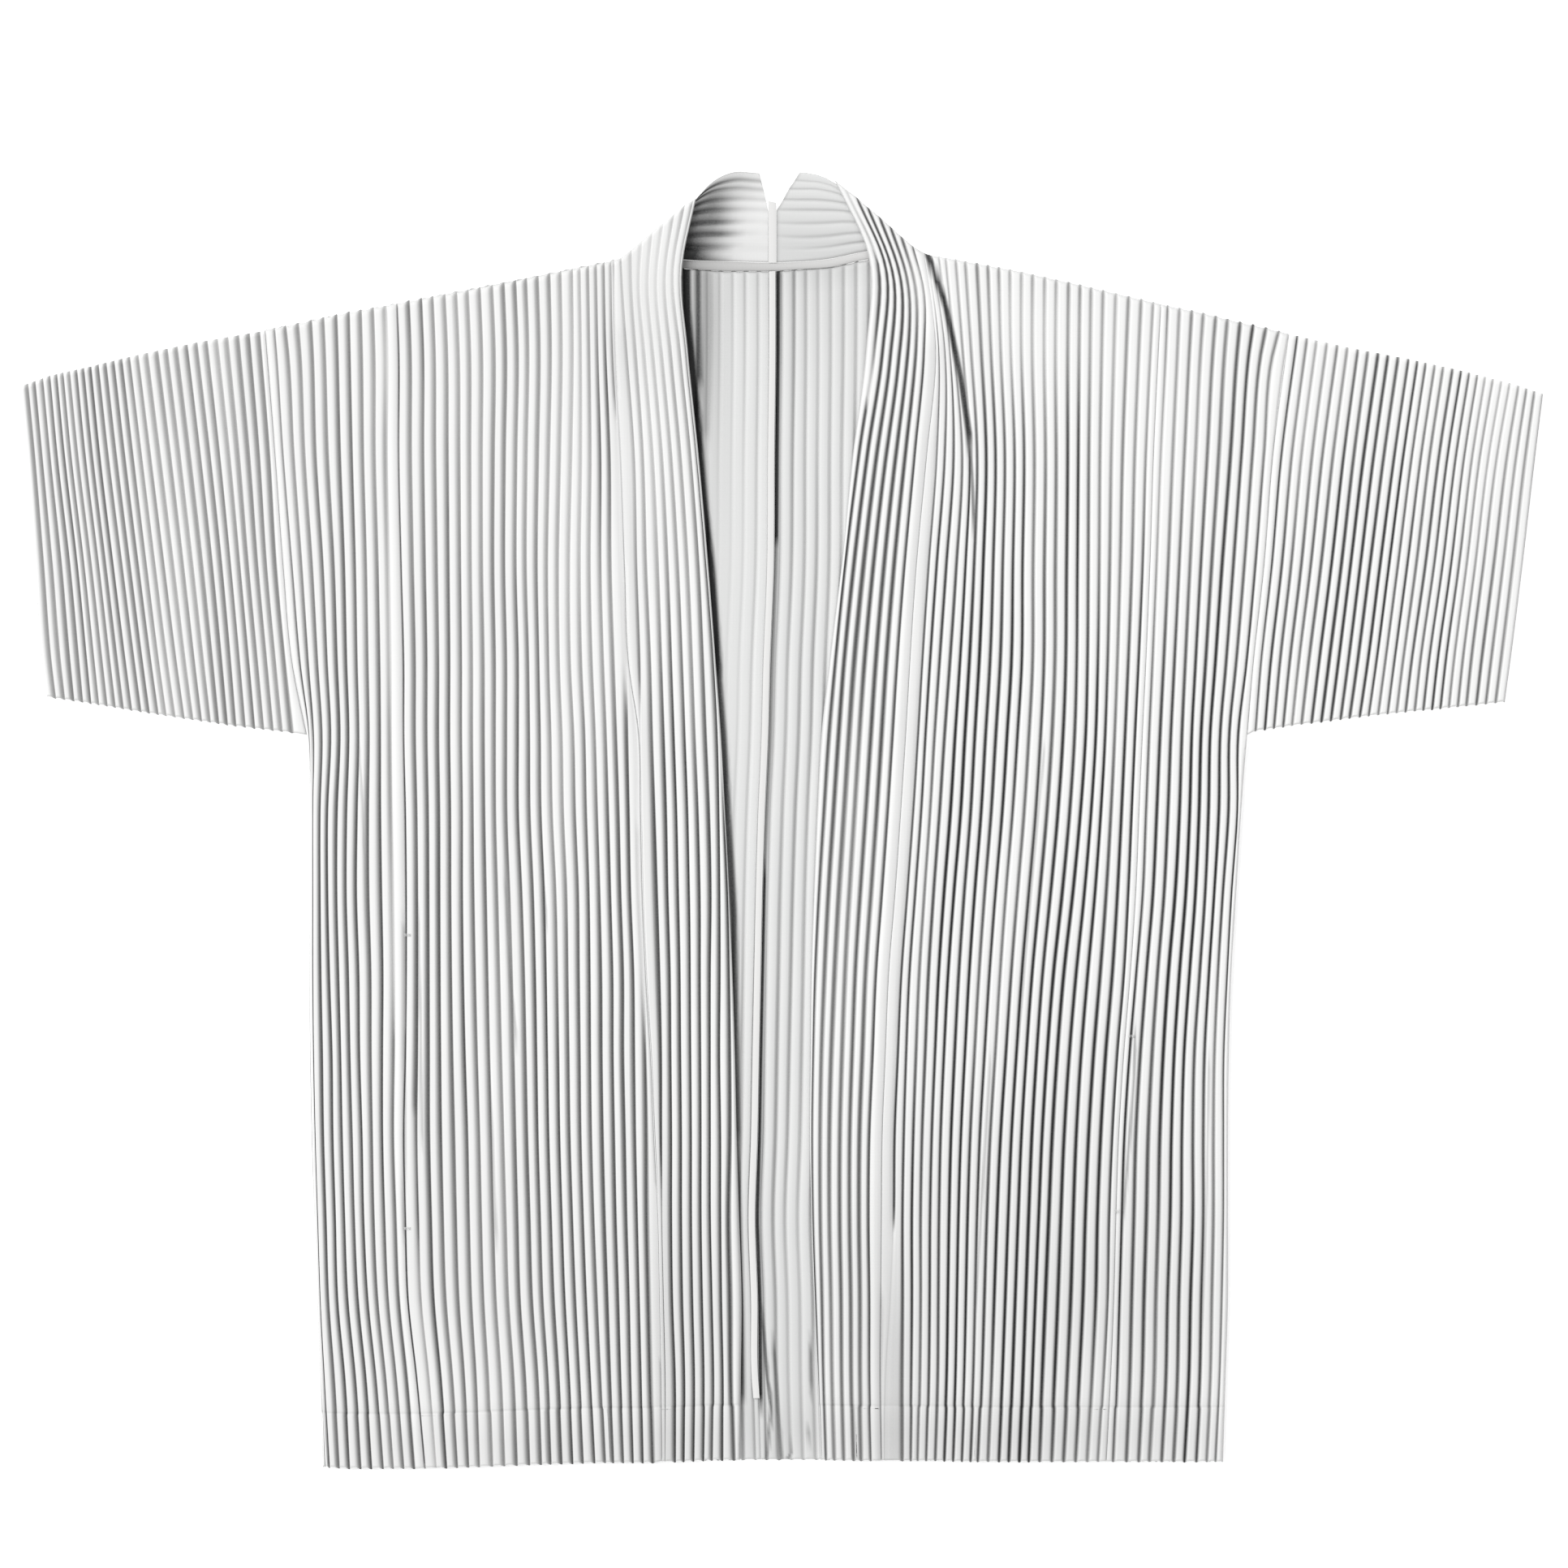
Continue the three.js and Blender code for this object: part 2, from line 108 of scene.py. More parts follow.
RIGHT = {
    "armhole": fall(0, (-311.5, 295.5), (
        -310.5, -305.5, -300.5, -295, -286.5, -285, -285, -285, -284.5, -283.5, -282, -280.5,
        -278.5), (-277, -390)),
    "side0": fall(0, (-306, 296.5), (
        -305, -301, -295.5, -290.5, -285.2, -284.2, -284.2, -284.2, -283.7, -282.7, -281.2,
        -279.7, -277.7), (-276, -390)),
    "side1": fall(1, (-299.5, 297.5), (
        -298, -294.5, -289.5, -285.5, -282.5, -283, -283, -283, -282.5, -281.5, -280, -278.5,
        -276), (-273, -390.5)),
    "side3": fall(3, (-284, 301), (
        -283, -281, -276.5, -274, -272, -274, -274, -273, -271.5, -271, -269.5, -268, -263.5),
        (-260.5, -391)),
    "side6": fall(6, (-261, 306), (
        -260.5, -259, -257, -256, -255, -256, -256.5, -255, -254.5, -253, -252, -249.5,
        -244.5), (-240.5, -391)),
    "side9": fall(9, (-238.5, 310), (
        -237.5, -238, -236.5, -235.5, -235.5, -235, -234, -233.5, -234, -234.5, -233, -231,
        -226), (-221.5, -391)),
    "pocket": fall(0, (-232, 311.5), (
        -231, -231, -229.5, -228, -228, -227, -226.5, -226.5, -227, -228, -227, -225.5, -220),
        (-215, -391)),
    "centre5": fall(5, (-196, 318), (
        -194.5, -194, -193.5, -193, -193, -192.5, -192.5, -192, -191, -189.5, -188.5, -187,
        -184), (-182, -390)),
    "centre10": fall(10, (-160.5, 325), (
        -159, -160, -160.5, -159, -159, -159, -157, -155.5, -154.5, -153.5, -152, -150.5,
        -147), (-145, -388.5)),
    "centre15": fall(15, (-126, 332), (
        -125.5, -126.5, -128, -127.5, -125.5, -124.5, -122.5, -122, -121.5, -121, -119.5,
        -117.5, -115), (-112.5, -387.5)),
    "centre19": fall(19, (-107, 336), (
        -106, -103.5, -103, -101, -99.5, -98, -97, -95.5, -95.5, -94.5, -93.5, -92, -91),
        (-89.5, -387.5)),
    "centre20": fall(20, (-102.6, 337), (
        -101.7, -98.2, -95.8, -93.3, -93, -92, -91, -89, -88.5, -88, -87, -86, -85), (-84, -387.5)),
    "centre21": fall(21, (-102.2, 337.2), (
        -101.1, -97.6, -95.2, -92.7, -86.6, -85.6, -84.6, -82.6, -81.8, -81.3, -81.3, -80.4, -79.4),
        (-78, -387.5)),
    "neck_seam": fall(0, (-101.5, 337.5), (
        -100.5, -97, -94.6, -92.1, -86, -85, -84, -82, -79, -77, -74.6, -73.6, -72.6), (-72, -387)),
}
LEFT = {
    "neck_seam": fall(1, (86, 342), (
        93.1, 87.7, 81.3, 77.4, 75, 72, 68.6, 64.7, 62.7, 60.8, 60.4, 60, 59.6), (60.4, -386.5)),
    "centre1": fall(1, (89, 340.8), (
        95, 94, 89, 85, 82.5, 79.5, 76, 72.5, 70.5, 68.5, 68, 66, 63), (62.5, -386.5)),
    "centre2": fall(2, (90.5, 340.4), (
        98.5, 98.5, 93.5, 89.5, 87, 84.5, 81, 77.5, 75.5, 74, 73, 73, 72.7), (72.7, -386.5)),
    "centre4": fall(4, (99, 339), (
        104, 109, 105.5, 101.5, 98.5, 95.5, 92, 89, 87, 85, 84, 84, 83.5), (82.5, -386.5)),
    "centre6": fall(6, (111, 336.8), (
        114.5, 118, 116, 113, 110.5, 108, 104, 100.5, 98, 96, 95, 94.5, 94), (92.5, -386.5)),
    "centre11": fall(11, (145, 330.5), (
        145, 146.5, 145.5, 145, 142.5, 139.5, 135.5, 132, 129, 126, 124, 122.5, 121), (119, -387)),
    "centre17": fall(17, (187, 321), (
        186.5, 185.5, 185, 184.5, 183.5, 180.5, 176, 170.5, 166.5, 163.5, 161.5, 159.5, 157.5),
        (155.5, -387)),
    "centre22": fall(22, (224.5, 312), (
        223, 220, 218, 215.5, 213.5, 211.5, 209.5, 207, 203, 200, 198, 197, 194.5), (191.5, -387)),
    "pocket": fall(0, (229, 311), (
        227.5, 224.5, 222.3, 219.8, 217.8, 215.8, 213.8, 210.5, 206.5, 203.5, 201.8, 200.5,
        198.5), (196, -387)),
    "side0": fall(0, (233, 310), (
        232, 229, 226.5, 224, 222, 220, 218, 214, 210, 207, 205.5, 204, 202.5), (200.5, -387)),
    "side3": fall(3, (254.5, 305.5), (
        253, 250, 246.5, 243.5, 241.5, 240, 237.5, 233.5, 230.5, 228.5, 227.5, 226, 225),
        (222.5, -387)),
    "side6": fall(6, (276.5, 300), (
        275, 271, 266, 262, 259, 258, 256, 252.5, 249, 248, 248, 246.5, 245.5), (243, -387)),
    "side8": fall(8, (292.5, 296.5), (
        290, 284.5, 279.5, 274.5, 270.5, 270, 266.5, 263.5, 261.5, 261, 261, 260, 259), (256.5, -387)),
    "side9": fall(9, (300.5, 294.5), (
        297.5, 291.5, 286, 280.5, 275.5, 275, 271.5, 269, 267, 267, 267, 266, 264.5), (262, -387)),
    "armhole": fall(0, (306, 293), (
        304.5, 296.5, 291, 284.5, 281, 277.5, 274.5, 271.5, 270, 269.5, 269.5, 269.5, 268),
        (266.5, -387)),
}

# The neckband's front stretches turn at the neck, so they have a slanting fold and one point more.
RIGHT_BAND = {
    "seam": band_seam(RIGHT, (-101.2, 337.5), (-101.2, 311)),
    "crease0": band_fall(0, (-97, 339), (-95.8, 318), (
        -93.5, -89, -87.5, -85.5, -85.2, -84.2, -83.2, -81.2, -78.2, -76.2, -73.8, -72.8,
        -71.8), (-71.3, -387)),
    "crease1": band_fall(1, (-91, 344), (-90.5, 321), (
        -88, -83.5, -81.5, -79, -78, -76.5, -75, -73.5, -72.5, -72.5, -72.4, -71.4, -70.4),
        (-70.4, -387)),
    "crease2": band_fall(2, (-84, 349.5), (-85.5, 323), (
        -82.5, -77.5, -74.5, -72.5, -71, -69.5, -68.5, -67, -66.5, -66, -66, -65.5, -64), (-64, -387)),
    "crease6": band_fall(6, (-58.5, 371), (-65, 331), (
        -61, -54.5, -49.5, -47, -45.5, -43.5, -42.5, -43, -43, -43, -43, -42, -41), (-41.5, -386)),
    "crease7": band_fall(7, (-53.2, 374), (-61.2, 331), (
        -57.7, -51.2, -45.2, -40.7, -38.5, -37.5, -37, -37, -37.5, -37, -37, -36.5, -35.5),
        (-35.5, -386)),
    "crease8": band_fall(8, (-52.6, 374.3), (-60.8, 331), (
        -57.3, -50.8, -44.8, -40.3, -37.3, -34.8, -32.4, -31.5, -31, -31, -32, -31, -30.5),
        (-29, -386)),
    "edge": band_fall(8, (-51.5, 375), (-60, 331), (
        -56.5, -50, -44, -39.5, -36.5, -34, -31.5, -29.5, -28, -27, -25.5, -24, -24.5), (-25, -386)),
}
LEFT_BAND = {
    "edge": band_fall(7, (32, 386), (52.5, 340), (
        51, 43, 36, 28.5, 24, 21.5, 19.5, 18, 17.5, 17, 18, 19.5, 21.5), (23.5, -386)),
    "crease7": band_fall(7, (38.5, 380.7), (58.5, 333), (
        55.9, 46.6, 37.7, 31.9, 28.4, 25.5, 22.5, 20.1, 18.8, 18.1, 18.7, 20.2, 22.2), (24.2, -386)),
    "crease6": band_fall(6, (45.2, 375.2), (63, 331), (
        60.8, 51.5, 43.1, 37.2, 34.3, 31.4, 28.4, 26, 24, 23, 23, 24, 24.8), (26.2, -386)),
    "crease1": band_fall(1, (79.5, 346), (86.2, 320), (
        86.2, 80.4, 74, 69.6, 67.1, 64.2, 60.8, 57.3, 55.4, 53.4, 52.9, 53.4, 53.4), (54.4, -386.5)),
    "seam": band_seam(LEFT, (86, 342), (91, 311)),
}

# The sleeves' creases run from the folded top edge to the underarm seam, from the cuff inwards.
RIGHT_SLEEVE = [
    sleeve_fall(0, (-459.5, 261.5), (-455.5, -450.5, -446), (-443.5, 74.5)),
    sleeve_fall(4, (-441.5, 268), (-437, -429, -423.5), (-421.5, 71.5)),
    sleeve_fall(10, (-417, 273.5), (-411.5, -403, -395.5), (-392, 66.5)),
    sleeve_fall(16, (-388.5, 280.5), (-381, -372.5, -365), (-360.5, 61.5)),
    sleeve_fall(22, (-353, 288), (-345, -337.5, -332), (-329, 57)),
    sleeve_fall(28, (-315, 294.5), (-309, -305, -299.5), (-295.5, 53)),
    sleeve_fall(28, (-311.5, 295.5), (-305.5, -300.5, -295), (-286.5, 51.5)),
]
LEFT_SLEEVE = [
    sleeve_fall(0, (306, 293), (296.5, 291, 284.5), (281, 51.5)),
    sleeve_fall(0, (311, 292), (301.5, 295.5, 289), (286, 54)),
    sleeve_fall(5, (341.5, 285), (333, 325.5, 318), (314, 58)),
    sleeve_fall(11, (378.5, 278), (370, 361, 353.5), (349, 62.5)),
    sleeve_fall(17, (410, 271), (402, 393.5, 385), (382, 66)),
    sleeve_fall(23, (439.5, 263.5), (432, 423.5, 416), (413.5, 69)),
    sleeve_fall(27, (459.5, 257), (455, 447, 439.5), (436.5, 71.5)),
]

CENTRE_BACK = fall(0, (-3.3, 331), (
    -3.3, -4, -4.5, -6.8, -7.8, -9.8, -11.3, -12.3, -13.3, -14.2, -15.7, -14.2, -13.7), (-12.5, -386))[1]
BACK_PITCH = 7.6        # the back's pleats are wider and softer than those of the fronts
BACK_STRIP = 3.2
NECKLINE = ((-101, 337.5), (-59, 332.5), (-36.4, 331), (-4, 331), (28.4, 333), (51.2, 338), (90, 341))

# The neckband's stretch behind the neck lies open. Its creases run from the fold to the centre.
RIGHT_COLLAR = [
    (0, [(-87, 340), (-65, 338.5), (-46.5, 337.5), (-28.5, 337), (-8, 336.5)]),
    (2, [(-76, 350), (-61, 352), (-46.5, 353), (-28.5, 353), (-8, 352.5)]),
    (4, [(-64, 361.5), (-56.5, 365.5), (-45.5, 367.5), (-28.5, 368), (-8, 367.5)]),
    (6, [(-56.5, 370), (-51, 374.5), (-42.5, 379), (-28.5, 381), (-10.8, 380)]),
    (8, [(-52, 373.5), (-47.5, 379.5), (-40.5, 386), (-29.5, 391), (-13.5, 390.5)]),
]
LEFT_COLLAR = [
    (0, [(-3, 336.5), (11, 337), (28, 338.5), (47.5, 342.5), (73, 346)]),
    (2, [(-3, 352), (11, 351.5), (25.5, 352), (42.5, 354), (64, 354.5)]),
    (4, [(-3, 367.5), (8.5, 367.5), (21.5, 367.5), (37, 367), (55, 364)]),
    (6, [(4, 380), (11, 380), (21, 380), (32, 378), (44.5, 374)]),
    (8, [(11, 391), (16.5, 390.5), (23, 389), (29, 386.5), (35, 382.5)]),
]

# ---- How the cloth lies -----------------------------------------------------------------------
# Soft ovals: x, y, half width, half height, amount. Pressed ones flatten the creases there and
# lighten the shade painted into them, sharp ones deepen them and darken it, and raised ones lift
# the cloth off what it lies on, by millimetres.
PRESSED = (
    (-130, 250, 60, 130, 0.3),
    (-78, 335, 28, 45, 0.5),
    (-75, 200, 30, 160, 0.2),
    (-330, 240, 90, 60, 0.05),
    (330, 240, 60, 60, 0.15),
    (442, 180, 24, 150, 0.4),
    (90, 330, 14, 30, 0.5),
    (150, 300, 50, 50, 0.5),
)
SHARP = (
    (-245, -190, 60, 230, 0.35),
    (-120, -190, 50, 230, 0.25),
    (-55, -190, 40, 220, 0.8),
    (160, -60, 60, 180, 0.4),
    (150, -260, 110, 120, 0.35),
    (62, 220, 30, 170, 0.8),
    (350, 160, 50, 130, 0.3),
    (240, -40, 50, 120, 0.25),
    (-106, 225, 5, 70, 0.9),
)
BACK_PRESSED = ((-34, 120, 18, 260, 0.85), (90, 330, 14, 30, 0.5))
COLLAR_PRESSED = ((-14, 350, 18, 32, 1.0), (8, 341, 60, 7, 0.8), (22, 385, 22, 8, 0.4))
COLLAR_SHARP = ((-56, 352, 22, 30, 0.8),)
# Painted shade: ovals where the cloth's colour is darkened as if it lay in a soft shadow of
# its own, and how dark.
PAINTED_SHADE = (
    (-150, -300, 190, 110, 0.07),
    (170, -290, 130, 150, 0.12),
    (165, -375, 170, 22, 0.13),
    (-150, -380, 170, 20, 0.1),
    (-52, -330, 30, 90, 0.08),
    (60, -330, 30, 90, 0.08),
    (-85, 315, 30, 55, 0.12),
    (-72, -310, 7, 110, 0.06),
    (67, -330, 7, 90, 0.08),
    (452, 170, 12, 130, 0.08),
    (215, -300, 70, 50, 0.05),
)
# More painted shade, as the same ovals: on the collar, on the inside of the back below the binding, and on
# the neck binding beside the dark collar corner.
COLLAR_PAINTED_SHADE = ((-60, 350, 22, 34, 0.85), (-57, 339, 12, 9, 0.5), (-18, 350, 30, 40, 0.06),
               (-45, 376, 17, 14, 0.25), (-40, 368, 9, 18, 0.25), (-27, 387, 18, 12, 0.22),
               (30, 350, 40, 40, 0.06), (28, 345, 45, 13, 0.08))
BACK_PAINTED_SHADE = ((-40, 240, 9, 140, 0.1), (-43, 300, 9, 60, 0.16), (-30, 330, 60, 30, 0.05),
             (22, 322, 24, 60, 0.07), (22, 333, 34, 6, 0.1), (-5, -330, 45, 90, 0.1),
             (10, -370, 50, 20, 0.08))
BINDING_PAINTED_SHADE = ((-66, 337, 22, 30, 0.45), (0, 333, 110, 30, 0.2), (-38, 333, 34, 30, 0.1))
RAISED = (
    (-60, 300, 30, 90, 3.0),
    (55, 300, 30, 90, 1.6),
    (-40, 60, 26, 200, 1.2),
)

# Strips that are pressed smooth: the points of the path, half width and amount.
FRONT_STRIPS = (
    (((-235.5, 320), (-234.5, 201), (-232, 52), (-230.5, -93), (-230, -122)), 3.6, 0.8),
    (((-224, -180), (-223, -240), (-221, -289), (-216, -338), (-211, -392)), 3.6, 0.8),
    (((-98.5, 240), (-97, 220), (-94.6, 152), (-92.1, 93), (-86, 51.5), (-84.5, 5)), 4.6, 0.85),
    (((-84.5, 5), (-83.5, -44), (-81.5, -93), (-78.5, -142), (-76.5, -191), (-74, -240), (-72, -392)),
     3.4, 0.8),
    (((68, -250), (66, -289), (63, -338), (62.5, -392)), 2.4, 0.85),
    (((35.5, 384), (55, 342), (54.8, 300), (52, 255)), 2.8, 0.85),
)
# Folds and dents across the pleats, with shade painted along them: points, half width, how dark
# the painted shade is, and how deep in millimetres. The two long paths without depth lay a light
# painted shade along the smooth strips beside the bands.
FRONT_FOLDS = (
    (((88, 342), (99, 310), (108, 267), (113.5, 230)), 2.0, 1.0, 1.6),
    (((113, 234), (115, 205), (116, 180)), 1.2, 0.75, 0.8),
    (((60.2, -290), (59.8, -338), (60.6, -392)), 0.9, 0.35, 0.4),
    (((-99, 290), (-97, 220), (-93, 152), (-91, 93), (-86, 51.5), (-84, 5), (-82, -44), (-80, -93),
      (-78, -142), (-76, -191), (-74, -240), (-73, -289), (-72, -338), (-72, -392)), 6.5, 0.1, 0.0),
    (((93, 284), (87.7, 220.5), (82, 152), (78, 93), (76, 51.5), (73, 5), (70, -44), (67, -93),
      (65, -142), (63.5, -191), (63, -240), (64, -289), (66, -338), (66.5, -392)), 7.0, 0.11, 0.0),
    (((-227, -69), (-227.5, -247)), 1.0, 0.45, 0.5),
    (((213.5, -132), (213, -157), (207, -233)), 0.9, 0.55, 0.4),
    (((-150, -362), (-108, -359)), 0.8, 0.12, 0.1),
    (((-146.5, 25), (-145, -20), (-142, -60)), 0.9, 0.4, 0.5),
    (((-166.5, -37), (-164, -90), (-160.5, -130)), 0.9, 0.45, 0.6),
    (((-219, -60), (-217.5, -130), (-217, -190)), 0.8, 0.35, 0.4),
    (((-178, -120), (-174.5, -190), (-172, -250)), 0.8, 0.35, 0.4),
    (((-256, 60), (-252.5, 10), (-250, -60)), 0.8, 0.3, 0.4),
    (((158, 40), (150.5, -40), (143, -130)), 0.9, 0.35, 0.4),
    (((126, -150), (121, -230), (117.5, -290)), 0.8, 0.35, 0.4),
    (((258, -150), (256.5, -230), (254, -300)), 0.8, 0.3, 0.3),
)
# Painted shade on the back: the first five paths paint the shadow that the lifted front band casts beside
# its inner edge, the next three the dark shadow line beside the centre-back seam's lip, and the rest short
# creases and dents near the hem, with painted shade in them.
BACK_FOLDS = (
    (((-57.6, 336), (-57.2, 310), (-56.2, 295), (-51.8, 250), (-47.4, 191), (-42.6, 152), (-38.5, 90)),
     3.0, 1.1, 0.6),
    (((-50.3, 333), (-50.2, 310), (-50, 290), (-49.8, 266)), 2.1, 0.95, 0.3),
    (((-45, 333), (-44.5, 300), (-45.5, 262), (-46.5, 235)), 3.4, 0.36, 0.2),
    (((-38.5, 90), (-35.5, 52), (-29, -60), (-27, -191)), 2.6, 0.95, 0.2),
    (((-27, -191), (-26, -240), (-24.5, -300), (-24, -345)), 2.0, 0.85, 0.3),
    (((-2.2, 331), (-2.4, 284), (-3.1, 220), (-3.4, 170)), 1.6, 1.1, 0.4),
    (((-3.4, 170), (-3.6, 152), (-5.8, 93), (-6.8, 51), (-8.8, 5), (-10.2, -30)), 1.5, 0.65, 0.3),
    (((-10.2, -30), (-11.4, -93), (-12.4, -142), (-13.3, -191), (-14.8, -240), (-13.3, -289), (-12.8, -349)),
     1.4, 1.05, 0.4),
    (((-11.5, -301), (-9.3, -333), (-6.2, -356)), 1.2, 0.85, 0.5),
    (((-6.2, -356), (-8.3, -372), (-9, -384)), 1.2, 0.65, 0.4),
    (((-4.2, -320), (-3.2, -338), (-2.2, -357), (-0.5, -384)), 1.3, 0.75, 0.4),
    (((17.6, -320), (18.3, -342)), 1.0, 0.65, 0.3),
    (((2.4, -356.5), (5.2, -357)), 1.6, 0.7, 0.4),
    (((9.4, -358), (12.4, -358.6)), 1.6, 0.75, 0.4),
    (((17, -369), (8.5, -378), (4, -385)), 1.0, 0.5, 0.3),
    (((-24.8, -359), (-14, -359)), 1.0, 0.6, 0.3),
)


def ovals(x, y, table):
    total = np.zeros(np.broadcast(x, y).shape)
    for across, up, half_width, half_height, amount in table:
        distance = ((x - across) / half_width) ** 2 + ((y - up) / half_height) ** 2
        total += amount * np.exp(-distance)
    return total


def closeness(x, y, path, half_width):
    """How near each point is to a path, which runs mostly up and down or mostly across."""
    path = np.asarray(path, float)
    upright = np.ptp(path[:, 1]) >= np.ptp(path[:, 0])
    run, side = (y, x) if upright else (x, y)
    points = path[:, ::-1] if upright else path
    points = points[np.argsort(points[:, 0])]
    off = side - np.interp(run, points[:, 0], points[:, 1])
    beyond = np.maximum(points[0, 0] - run, 0) + np.maximum(run - points[-1, 0], 0)
    fade = min(12.0, 1.0 + 0.35 * (points[-1, 0] - points[0, 0]))
    return np.exp(-(off / half_width) ** 4) * np.clip(1 - beyond / fade, 0, 1)


def wander(crease, y, turn):
    """Slow waves from 0 to 1 along the creases, which change from one group to the next."""
    slow = np.sin(0.7 * crease + turn + 1.3 * np.sin(y / 120 + 0.35 * crease + turn))
    quick = np.sin(2.4 * crease + 2 * turn + 1.4 * np.sin(y / 88 + 0.9 * crease + turn))
    return 0.5 + 0.3 * slow + 0.2 * quick


def ease(share):
    share = np.clip(share, 0, 1)
    return share * share * (3 - 2 * share)


def crease_depth(crease, x, y, shape, seed, pressed=PRESSED, sharp=SHARP, strips=()):
    """How deep each crease is pressed there, about 1 where the cloth is at its crispest. The
    shade painted into a crease follows it.
    """
    variety = shape["variety"]
    depth = 1.02 - variety * wander(np.round(crease), y, seed + 1.7)
    depth = depth * (1 + ovals(x, y, sharp)) * (1 - np.clip(ovals(x, y, pressed), 0, 0.97))
    for path, half_width, amount in strips:
        depth = depth * (1 - amount * closeness(x, y, path, half_width))
    return np.clip(depth, 0.02, 1.12)


def crease_shade(crease, y, shape, seed, pressed_in, strength):
    """How much shade is painted into the cloth's colour, from how far it is pressed in towards its crease.
    """
    spread = shape["spread"] * (0.65 + 0.8 * wander(np.round(crease), y, seed + 3))
    return strength * np.clip(pressed_in, 0, 1.1) ** spread


# ---- Lines and stations -----------------------------------------------------------------------
def along(points, distances):
    """Points at distances down a smooth curve through points."""
    points = np.asarray(points, float)
    step = np.linalg.norm(np.diff(points, axis=0), axis=1)
    start = np.concatenate([[0], np.cumsum(step)])
    slope = np.diff(points, axis=0) / step[:, None]
    tangent = np.vstack([slope[:1], slope])
    before, after = step[:-1, None], step[1:, None]
    tangent[1:-1] = (slope[:-1] * after + slope[1:] * before) / (before + after)
    i = np.clip(np.searchsorted(start, distances, side="right") - 1, 0, len(step) - 1)
    t = ((distances - start[i]) / step[i])[:, None]
    curve = (2 * t ** 3 - 3 * t ** 2 + 1) * points[i] + (3 * t ** 2 - 2 * t ** 3) * points[i + 1]
    bend = (t ** 3 - 2 * t ** 2 + t) * tangent[i] + (t ** 3 - t ** 2) * tangent[i + 1]
    return curve + bend * step[i][:, None]


def length(points):
    return float(np.linalg.norm(np.diff(np.asarray(points, float), axis=0), axis=1).sum())


def crest(shape, phase):
    up = ease(phase / shape["rise"])
    down = ease((1 - phase) / (1 - shape["fall"]))
    return min(up, down) * (0.95 + 0.05 * math.sin(math.pi * phase))


def stations(lines, shape, widths, starts_low, ends_low):
    """Across a panel, four rows: each station's place between two lines, its rise, its crease
    number, and the line that it closes up with where a pleat runs out, or OWN_PLEAT or PLAIN."""
    rows = []
    for i, (one, other) in enumerate(zip(lines, lines[1:])):
        pleats = abs(other[0] - one[0])
        if pleats == 0:
            slope = min(STRIP_SLOPE / widths[i], STRIP_SLOPE_SHARE)
            after_pleats = i > 0 and lines[i - 1][0] != one[0] or (i == 0 and starts_low)
            last = i == len(lines) - 2
            before_pleats = not last and lines[i + 2][0] != other[0] or (last and ends_low)
            if after_pleats:
                rows += [(i, 0, one[0], i), (i + slope / 2, STRIP_RISE / 2, one[0], i)]
            else:
                rows.append((i, STRIP_RISE, one[0], PLAIN))
            rows += [(at, STRIP_RISE, one[0], PLAIN) for at in (i + slope, i + 0.5, i + 1 - slope)]
            if before_pleats:
                rows.append((i + 1 - slope / 2, STRIP_RISE / 2, other[0], i + 1))
            continue
        turned = other[0] < one[0]
        for k in range(pleats):
            for phase in shape["points"]:
                rise = crest(shape, 1 - phase if turned else phase)
                number = one[0] + (k + phase) * (-1 if turned else 1)
                closes = i if k + phase == 0 else OWN_PLEAT
                rows.append((i + (k + phase) / pleats, rise, number, closes))
    end = len(lines) - 1
    plain_end = lines[end][0] == lines[end - 1][0] and not ends_low
    rows.append((end, STRIP_RISE, lines[end][0], PLAIN) if plain_end else (end, 0, lines[end][0], end))
    return np.array(rows, float).T


def openness(grid, lines, place, closes):
    """From 1 where a pleat stands open to 0 where it is drawn into the seam and runs out."""
    pleats = np.array([abs(b[0] - a[0]) for a, b in zip(lines, lines[1:])])
    wide = np.linalg.norm(np.diff(grid, axis=0), axis=2)
    pitch = np.where(pleats[:, None] > 0, wide / np.maximum(pleats, 1)[:, None], 0)
    open_pleat = ease((pitch - 1) / (OPEN_PITCH - 1))
    none = np.zeros((1, grid.shape[1]))
    beside = np.maximum(np.vstack([none, open_pleat]), np.vstack([open_pleat, none]))
    own = open_pleat[np.clip(place.astype(int), 0, len(pleats) - 1)]
    crease = beside[np.clip(closes, 0, len(lines) - 1).astype(int)]
    kind = closes[:, None]
    ends = (kind == 0) | (kind == len(lines) - 1)
    share = np.where(kind >= 0, np.where(ends, 1.0, crease), np.where(kind == OWN_PLEAT, own, 1.0))
    return share.T


def between(values, at):
    """Values given at whole numbers, mixed for the places in at."""
    i = np.clip(at.astype(int), 0, len(values) - 2)
    share = (at - i).reshape(-1, *([1] * (values.ndim - 1)))
    return values[i] * (1 - share) + values[i + 1] * share


def moved(points, other, distance):
    points, other = np.asarray(points, float), np.asarray(other, float)
    away = other - points
    return points + away / np.linalg.norm(away, axis=1)[:, None] * distance


